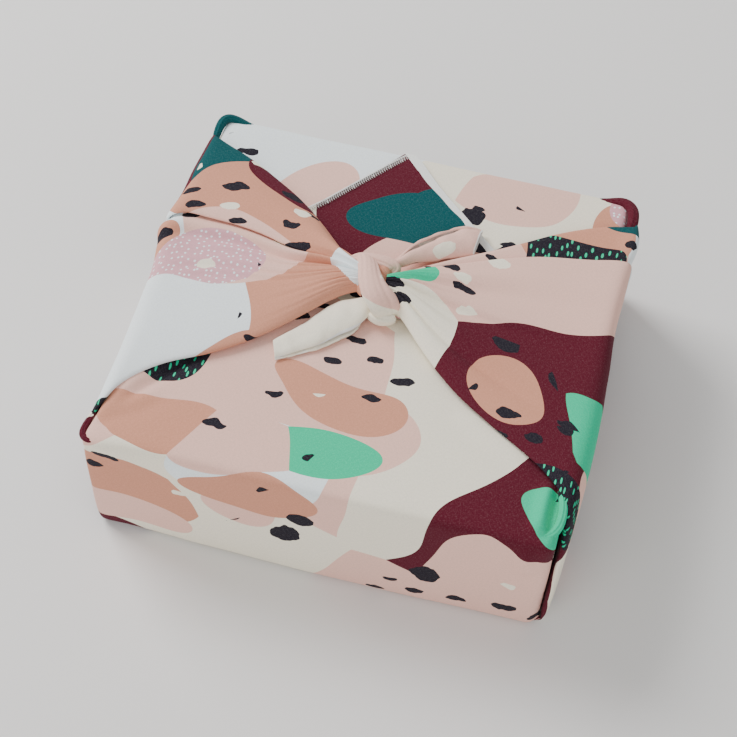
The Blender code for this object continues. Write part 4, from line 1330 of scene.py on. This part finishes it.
def linear(red, green, blue):
    """A display colour of 0 to 255 as the shader's linear values."""
    found = []
    for value in (red, green, blue):
        value /= 255
        found.append(value / 12.92 if value <= 0.04045 else ((value + 0.055) / 1.055) ** 2.4)
    return (*found, 1.0)


def printed(finish, flat, ink):
    """The print on the flat cloth: fields, pebbles, leaves with their marks, then chips."""
    bent = finish.waved(flat, *BEND)
    shaken = finish.waved(flat, *FRAY)
    layers = []
    for row in rows_of(LAYER_FIELDS, LAYERS):
        stretch, shift = (row.stretch_x, row.stretch_y, 1.0), (row.shift_x, row.shift_y, 0.0)
        moved = finish.moved(bent, row.turn, stretch, shift)
        spread, chances = finish.scattered(moved, row.scale)
        layers.append((spread, chances, finish.picked(chances[0], ink, row.inks)))
    (_, _, colour), (spread, chances, tone), (leaf_spread, (kind, _, chance), leaf_tone) = layers
    colour = finish.mixed(spread < chances[1] * PEBBLE_MORE + PEBBLE_RADIUS, colour, tone)
    leaf = (leaf_spread < LEAF_RADIUS) * (chance > LEAVES_BARE)
    colour = finish.mixed(leaf, colour, leaf_tone)
    for row in rows_of(MARK_FIELDS, LEAF_MARKS):
        lines = finish.moved(flat, row.turn, (1.0, row.stretch, 1.0))
        marks = finish.cells(lines, row.scale, "Distance", row.loose) < row.radius
        marks = marks * leaf * ((kind > row.low) * (kind < row.high))
        colour = finish.mixed(marks, colour, getattr(ink, row.ink)[:])
    for row in rows_of(CHIP_FIELDS, CHIPS):
        shift = (CHIP_SHIFT[0] + row.turn, CHIP_SHIFT[1], 0.0)
        chips = finish.moved(shaken, row.turn, (1.0, row.stretch, 1.0), shift)
        spread, chances = finish.scattered(chips, row.scale)
        cluster = finish.speckle(finish.moved(flat, row.turn), CLUSTER_SCALE, 0.0)
        shown = (chances[1] > row.bare) * (cluster > CLUSTERS_BARE)
        inside = (spread < chances[2] * CHIP_MORE + row.radius) * shown
        colour = finish.mixed(inside, colour, getattr(ink, row.ink)[:])
    return colour


def cotton(name, paler):
    """Printed plain-woven cotton; paler mixes the ink with bare cotton, as on its reverse."""
    scene = bpy.context.scene
    ink, pitch = scene.furoshiki_colours, scene.furoshiki_sizes.weave
    bare = ink.bare_cotton[:]
    finish = Finish(name)
    flat = finish.node("ShaderNodeUVMap", {"uv_map": "flat_cloth"})
    colour = printed(finish, flat, ink)
    edge = finish.node("ShaderNodeAttribute", {"attribute_name": "margin"}, output="Fac")
    ripple = finish.speckle(flat, RIPPLE_SCALE, 0.0)
    colour = finish.mixed((edge + ripple * BARE_WAVER) < BARE_MARGIN, colour, bare)
    if paler:
        colour = finish.mixed(paler, colour, bare)
    warp, weft = (
        finish.speckle(finish.moved(flat, THREAD_TURN, stretch), THREAD_SCALE, 1.0)
        for stretch in ((1.0, 0.25, 1.0), (0.25, 1.0, 1.0))
    )
    fleck = finish.speckle(flat, *FLECK)
    colour = finish.mixed((warp + weft + fleck * 0.3 - 1.1) * THREAD_BARE, colour, bare)
    colour = finish.shaded(colour, (warp + weft) * 0.14 + fleck * 0.10 + 0.81)
    bands = {"Vector": finish.moved(flat, THREAD_TURN), "Scale": WAVE_BANDS / pitch}
    across, along = (
        finish.node("ShaderNodeTexWave", {"bands_direction": way}, bands) for way in "XY"
    )
    height = across * along + fleck * 0.6 + warp * 0.5
    finish.set(Base_Color=colour, Roughness=fleck * 0.12 + 0.80, Normal=finish.bump(0.35, height))
    finish.set(Sheen_Weight=0.03, Sheen_Roughness=0.5, Specular_IOR_Level=0.12)
    return finish.material


def card(name, colour):
    finish = Finish(name)
    fibres = finish.speckle(finish.place(), 900.0, 4.0, dimensions="3D")
    cloud = finish.speckle(finish.place(), 30.0, 2.0, dimensions="3D")
    colour = finish.shaded(colour, fibres * 0.3 + cloud * 0.2 + 0.7)
    bump = finish.bump(0.2, fibres)
    finish.set(Base_Color=colour, Roughness=cloud * 0.1 + 0.78, Normal=bump)
    return finish.material


def plain(name, colour, roughness):
    finish = Finish(name)
    cloud = finish.speckle(finish.place(), 3.0, 2.0, dimensions="3D")
    finish.set(Base_Color=colour, Roughness=cloud * 0.05 + roughness)
    return finish.material


# Settings


def colour_setting(name, description, display):
    return bpy.props.FloatVectorProperty(
        name=name,
        description=description,
        subtype="COLOR",
        size=4,
        min=0.0,
        max=1.0,
        default=linear(*display),
    )


def length_setting(name, description, default, least):
    settings = {"default": default, "min": least, "unit": "LENGTH"}
    return bpy.props.FloatProperty(name=name, description=description, **settings)


def angle_setting(name, description, degrees):
    settings = {"default": math.radians(degrees), "subtype": "ANGLE"}
    return bpy.props.FloatProperty(name=name, description=description, **settings)


class FuroshikiSizes(bpy.types.PropertyGroup):
    side: length_setting("Cloth side", "Side of the square cloth before it is folded", 0.70, 0.3)
    thickness: length_setting("Thickness", "Thickness of the cotton", 0.0007, 0.0002)
    weave: length_setting("Weave pitch", "Distance between threads", 0.0006, 0.0001)
    creasing: bpy.props.FloatProperty(
        name="Creasing",
        description="Depth of the small creases, as a share of the usual depth",
        default=1.35,
        min=0.0,
        max=2.0,
        subtype="FACTOR",
    )


class FuroshikiColours(bpy.types.PropertyGroup):
    burgundy: colour_setting("Burgundy", "Dark red of the print", (88, 20, 38))
    tan: colour_setting("Tan", "Tan of the print", (212, 148, 122))
    blush: colour_setting("Blush", "Pale pink of the print", (240, 194, 179))
    cream: colour_setting("Cream", "Cream of the print", (247, 239, 219))
    off_white: colour_setting("Off-white", "Cool white of the print", (240, 247, 249))
    mint: colour_setting("Mint", "Mint green of the print", (12, 202, 150))
    teal: colour_setting("Teal", "Deep teal of the print", (0, 78, 82))
    charcoal: colour_setting("Charcoal", "Near black of the print", (34, 30, 40))
    dusty_pink: colour_setting("Dusty pink", "Dusty pink of the print", (222, 168, 176))
    bare_cotton: colour_setting("Bare cotton", "Unprinted cotton and its thread", (238, 238, 234))
    box_card: colour_setting("Box", "Card of the gift box", (176, 150, 118))


class FuroshikiStage(bpy.types.PropertyGroup):
    floor: colour_setting("Floor", "Colour of the floor", (236, 234, 232))
    floor_width: length_setting("Floor width", "Width of the floor under the wrap", 16.0, 1.0)
    azimuth: angle_setting(
        "Camera azimuth", "How far the camera stands to the right of straight in front", 12.80
    )
    elevation: angle_setting("Camera elevation", "How far the camera looks down", 54.68)
    roll: angle_setting("Camera roll", "Turn of the camera about its own axis", 2.58)
    distance: length_setting(
        "Camera distance", "From the camera to the point that it looks at", 0.9834, 0.2
    )


CAMERA_TARGET = Vector((-2.6, 2.8, 28.0))
LENS, SENSOR_WIDTH = 74.2, 36.0
WORLD_STRENGTH = 0.56
# Each light's name, its place in metres, its width and its power in watts.
LIGHTS = (
    ("key_light", (-2.1, 1.1, 2.0), 1.5, 104.0),
    ("fill_light", (1.8, -1.9, 2.1), 2.4, 14.0),
    ("front_light", (-0.8, -2.6, 1.4), 2.2, 26.0),
)


# Operators


def aimed(name, data, place, rotation):
    made = bpy.data.objects.new(name, data)
    made.location = place
    made.rotation_mode = "QUATERNION"
    made.rotation_quaternion = rotation
    bpy.context.scene.collection.objects.link(made)
    return made


class FUROSHIKI_OT_stage(bpy.types.Operator):
    """Adds the floor, the soft lights and the camera"""

    bl_idname = "furoshiki.stage"
    bl_label = "Stage"

    def execute(self, context):
        stage = context.scene.furoshiki_stage
        deselect()
        bpy.ops.mesh.primitive_plane_add(size=stage.floor_width, location=(0, 0, 0))
        floor = context.object
        floor.name = "floor"
        floor.data.materials.append(plain("pale_floor", stage.floor[:], 0.75))
        self.add_lights(context.scene)
        self.add_camera(context.scene, stage)
        return {"FINISHED"}

    def add_lights(self, scene):
        for name, place, size, power in LIGHTS:
            light = bpy.data.lights.new(name, "AREA")
            light.shape = "SQUARE"
            light.size = size
            light.energy = power
            aimed(name, light, place, (-Vector(place)).to_track_quat("-Z", "Y"))
        world = bpy.data.worlds.new("studio")
        world.use_nodes = True
        background = world.node_tree.nodes["Background"]
        background.inputs["Color"].default_value = (1.0, 1.0, 1.0, 1.0)
        background.inputs["Strength"].default_value = WORLD_STRENGTH
        scene.world = world

    def add_camera(self, scene, stage):
        turn, lift = stage.azimuth, stage.elevation
        ground = math.cos(lift)
        back = Vector((math.sin(turn) * ground, -math.cos(turn) * ground, math.sin(lift)))
        lens = bpy.data.cameras.new("camera")
        lens.lens = LENS
        lens.sensor_width = SENSOR_WIDTH
        lens.clip_start = 0.01
        place = CAMERA_TARGET * MM + back * stage.distance
        level = (-back).to_track_quat("-Z", "Y")
        scene.camera = aimed("camera", lens, place, Quaternion(back, stage.roll) @ level)


class FUROSHIKI_OT_box(bpy.types.Operator):
    """Gives the gift box its card finish"""

    bl_idname = "furoshiki.box"
    bl_label = "Gift box"

    def execute(self, context):
        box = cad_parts["gift_box"]
        box.data.materials.clear()
        box.data.materials.append(card("box_card", context.scene.furoshiki_colours.box_card[:]))
        return {"FINISHED"}


class FUROSHIKI_OT_cloth(bpy.types.Operator):
    """Makes the folded sheet: floor, walls, pleats, flaps and wings"""

    bl_idname = "furoshiki.cloth"
    bl_label = "Folded cloth"

    def execute(self, context):
        add_piece(face_outwards(folded_sheet().mesh("folded_cloth")), 2, add_sheet_folds)
        return {"FINISHED"}


class FUROSHIKI_OT_lips(bpy.types.Operator):
    """Makes the rolled cloth on corners of the rim"""

    bl_idname = "furoshiki.lips"
    bl_label = "Corner rolls"

    def execute(self, context):
        sheet = Sheet()
        for table, place in LIPS:
            add_strand(sheet, table, place, (0, 1), LIP_FOLDS, LIP_TWIST)
        add_piece(sheet.mesh("corner_rolls"), 1)
        return {"FINISHED"}


class FUROSHIKI_OT_knot(bpy.types.Operator):
    """Makes the knot from rolled strands of the cloth"""

    bl_idname = "furoshiki.knot"
    bl_label = "Knot"

    def execute(self, context):
        sheet = Sheet()
        add_core(sheet)
        for strand in KNOT_STRANDS:
            add_strand(sheet, *strand)
        add_piece(sheet.mesh("knot"), 1)
        return {"FINISHED"}


class FUROSHIKI_OT_tails(bpy.types.Operator):
    """Makes the two tails of the knot"""

    bl_idname = "furoshiki.tails"
    bl_label = "Tails"

    def execute(self, context):
        for name, table, place in TAILS:
            add_piece(tail_sheet(table, place).mesh(name), 2, add_ruffle)
        return {"FINISHED"}


class FUROSHIKI_OT_overlock(bpy.types.Operator):
    """Makes the overlock stitches of the front flap's left edge"""

    bl_idname = "furoshiki.overlock"
    bl_label = "Overlock"

    def execute(self, context):
        add_piece(overlock_sheet().mesh("overlock"))
        return {"FINISHED"}


class FUROSHIKI_OT_declare(bpy.types.Operator):
    """Does nothing; the flat size of the cloth is not stated"""

    bl_idname = "furoshiki.declare"
    bl_label = "State sizes"

    def execute(self, context):
        return {"FINISHED"}


class FUROSHIKI_PT_panel(bpy.types.Panel):
    bl_idname = "FUROSHIKI_PT_panel"
    bl_label = "Furoshiki wrap"
    bl_space_type = "VIEW_3D"
    bl_region_type = "UI"
    bl_category = "Furoshiki"

    def draw(self, context):
        for group in ("furoshiki_sizes", "furoshiki_colours", "furoshiki_stage"):
            box = self.layout.box()
            settings = getattr(context.scene, group)
            for name in settings.bl_rna.properties.keys():
                if name not in ("rna_type", "name"):
                    box.prop(settings, name)
        for operator in OPERATORS:
            self.layout.operator(operator.bl_idname)


OPERATORS = (
    FUROSHIKI_OT_stage,
    FUROSHIKI_OT_box,
    FUROSHIKI_OT_cloth,
    FUROSHIKI_OT_lips,
    FUROSHIKI_OT_knot,
    FUROSHIKI_OT_tails,
    FUROSHIKI_OT_overlock,
    FUROSHIKI_OT_declare,
)
GROUPS = {
    "furoshiki_sizes": FuroshikiSizes,
    "furoshiki_colours": FuroshikiColours,
    "furoshiki_stage": FuroshikiStage,
}


def register():
    for kind in (*GROUPS.values(), *OPERATORS, FUROSHIKI_PT_panel):
        bpy.utils.register_class(kind)
    for name, kind in GROUPS.items():
        setattr(bpy.types.Scene, name, bpy.props.PointerProperty(type=kind))


def unregister():
    for name in GROUPS:
        delattr(bpy.types.Scene, name)
    for kind in (FUROSHIKI_PT_panel, *OPERATORS[::-1], *list(GROUPS.values())[::-1]):
        bpy.utils.unregister_class(kind)


def main():
    register()
    bpy.ops.furoshiki.stage()
    bpy.ops.furoshiki.box()
    bpy.ops.furoshiki.cloth()
    bpy.ops.furoshiki.lips()
    bpy.ops.furoshiki.knot()
    bpy.ops.furoshiki.tails()
    bpy.ops.furoshiki.overlock()
    bpy.ops.furoshiki.declare()


if __name__ == "__main__":
    main()
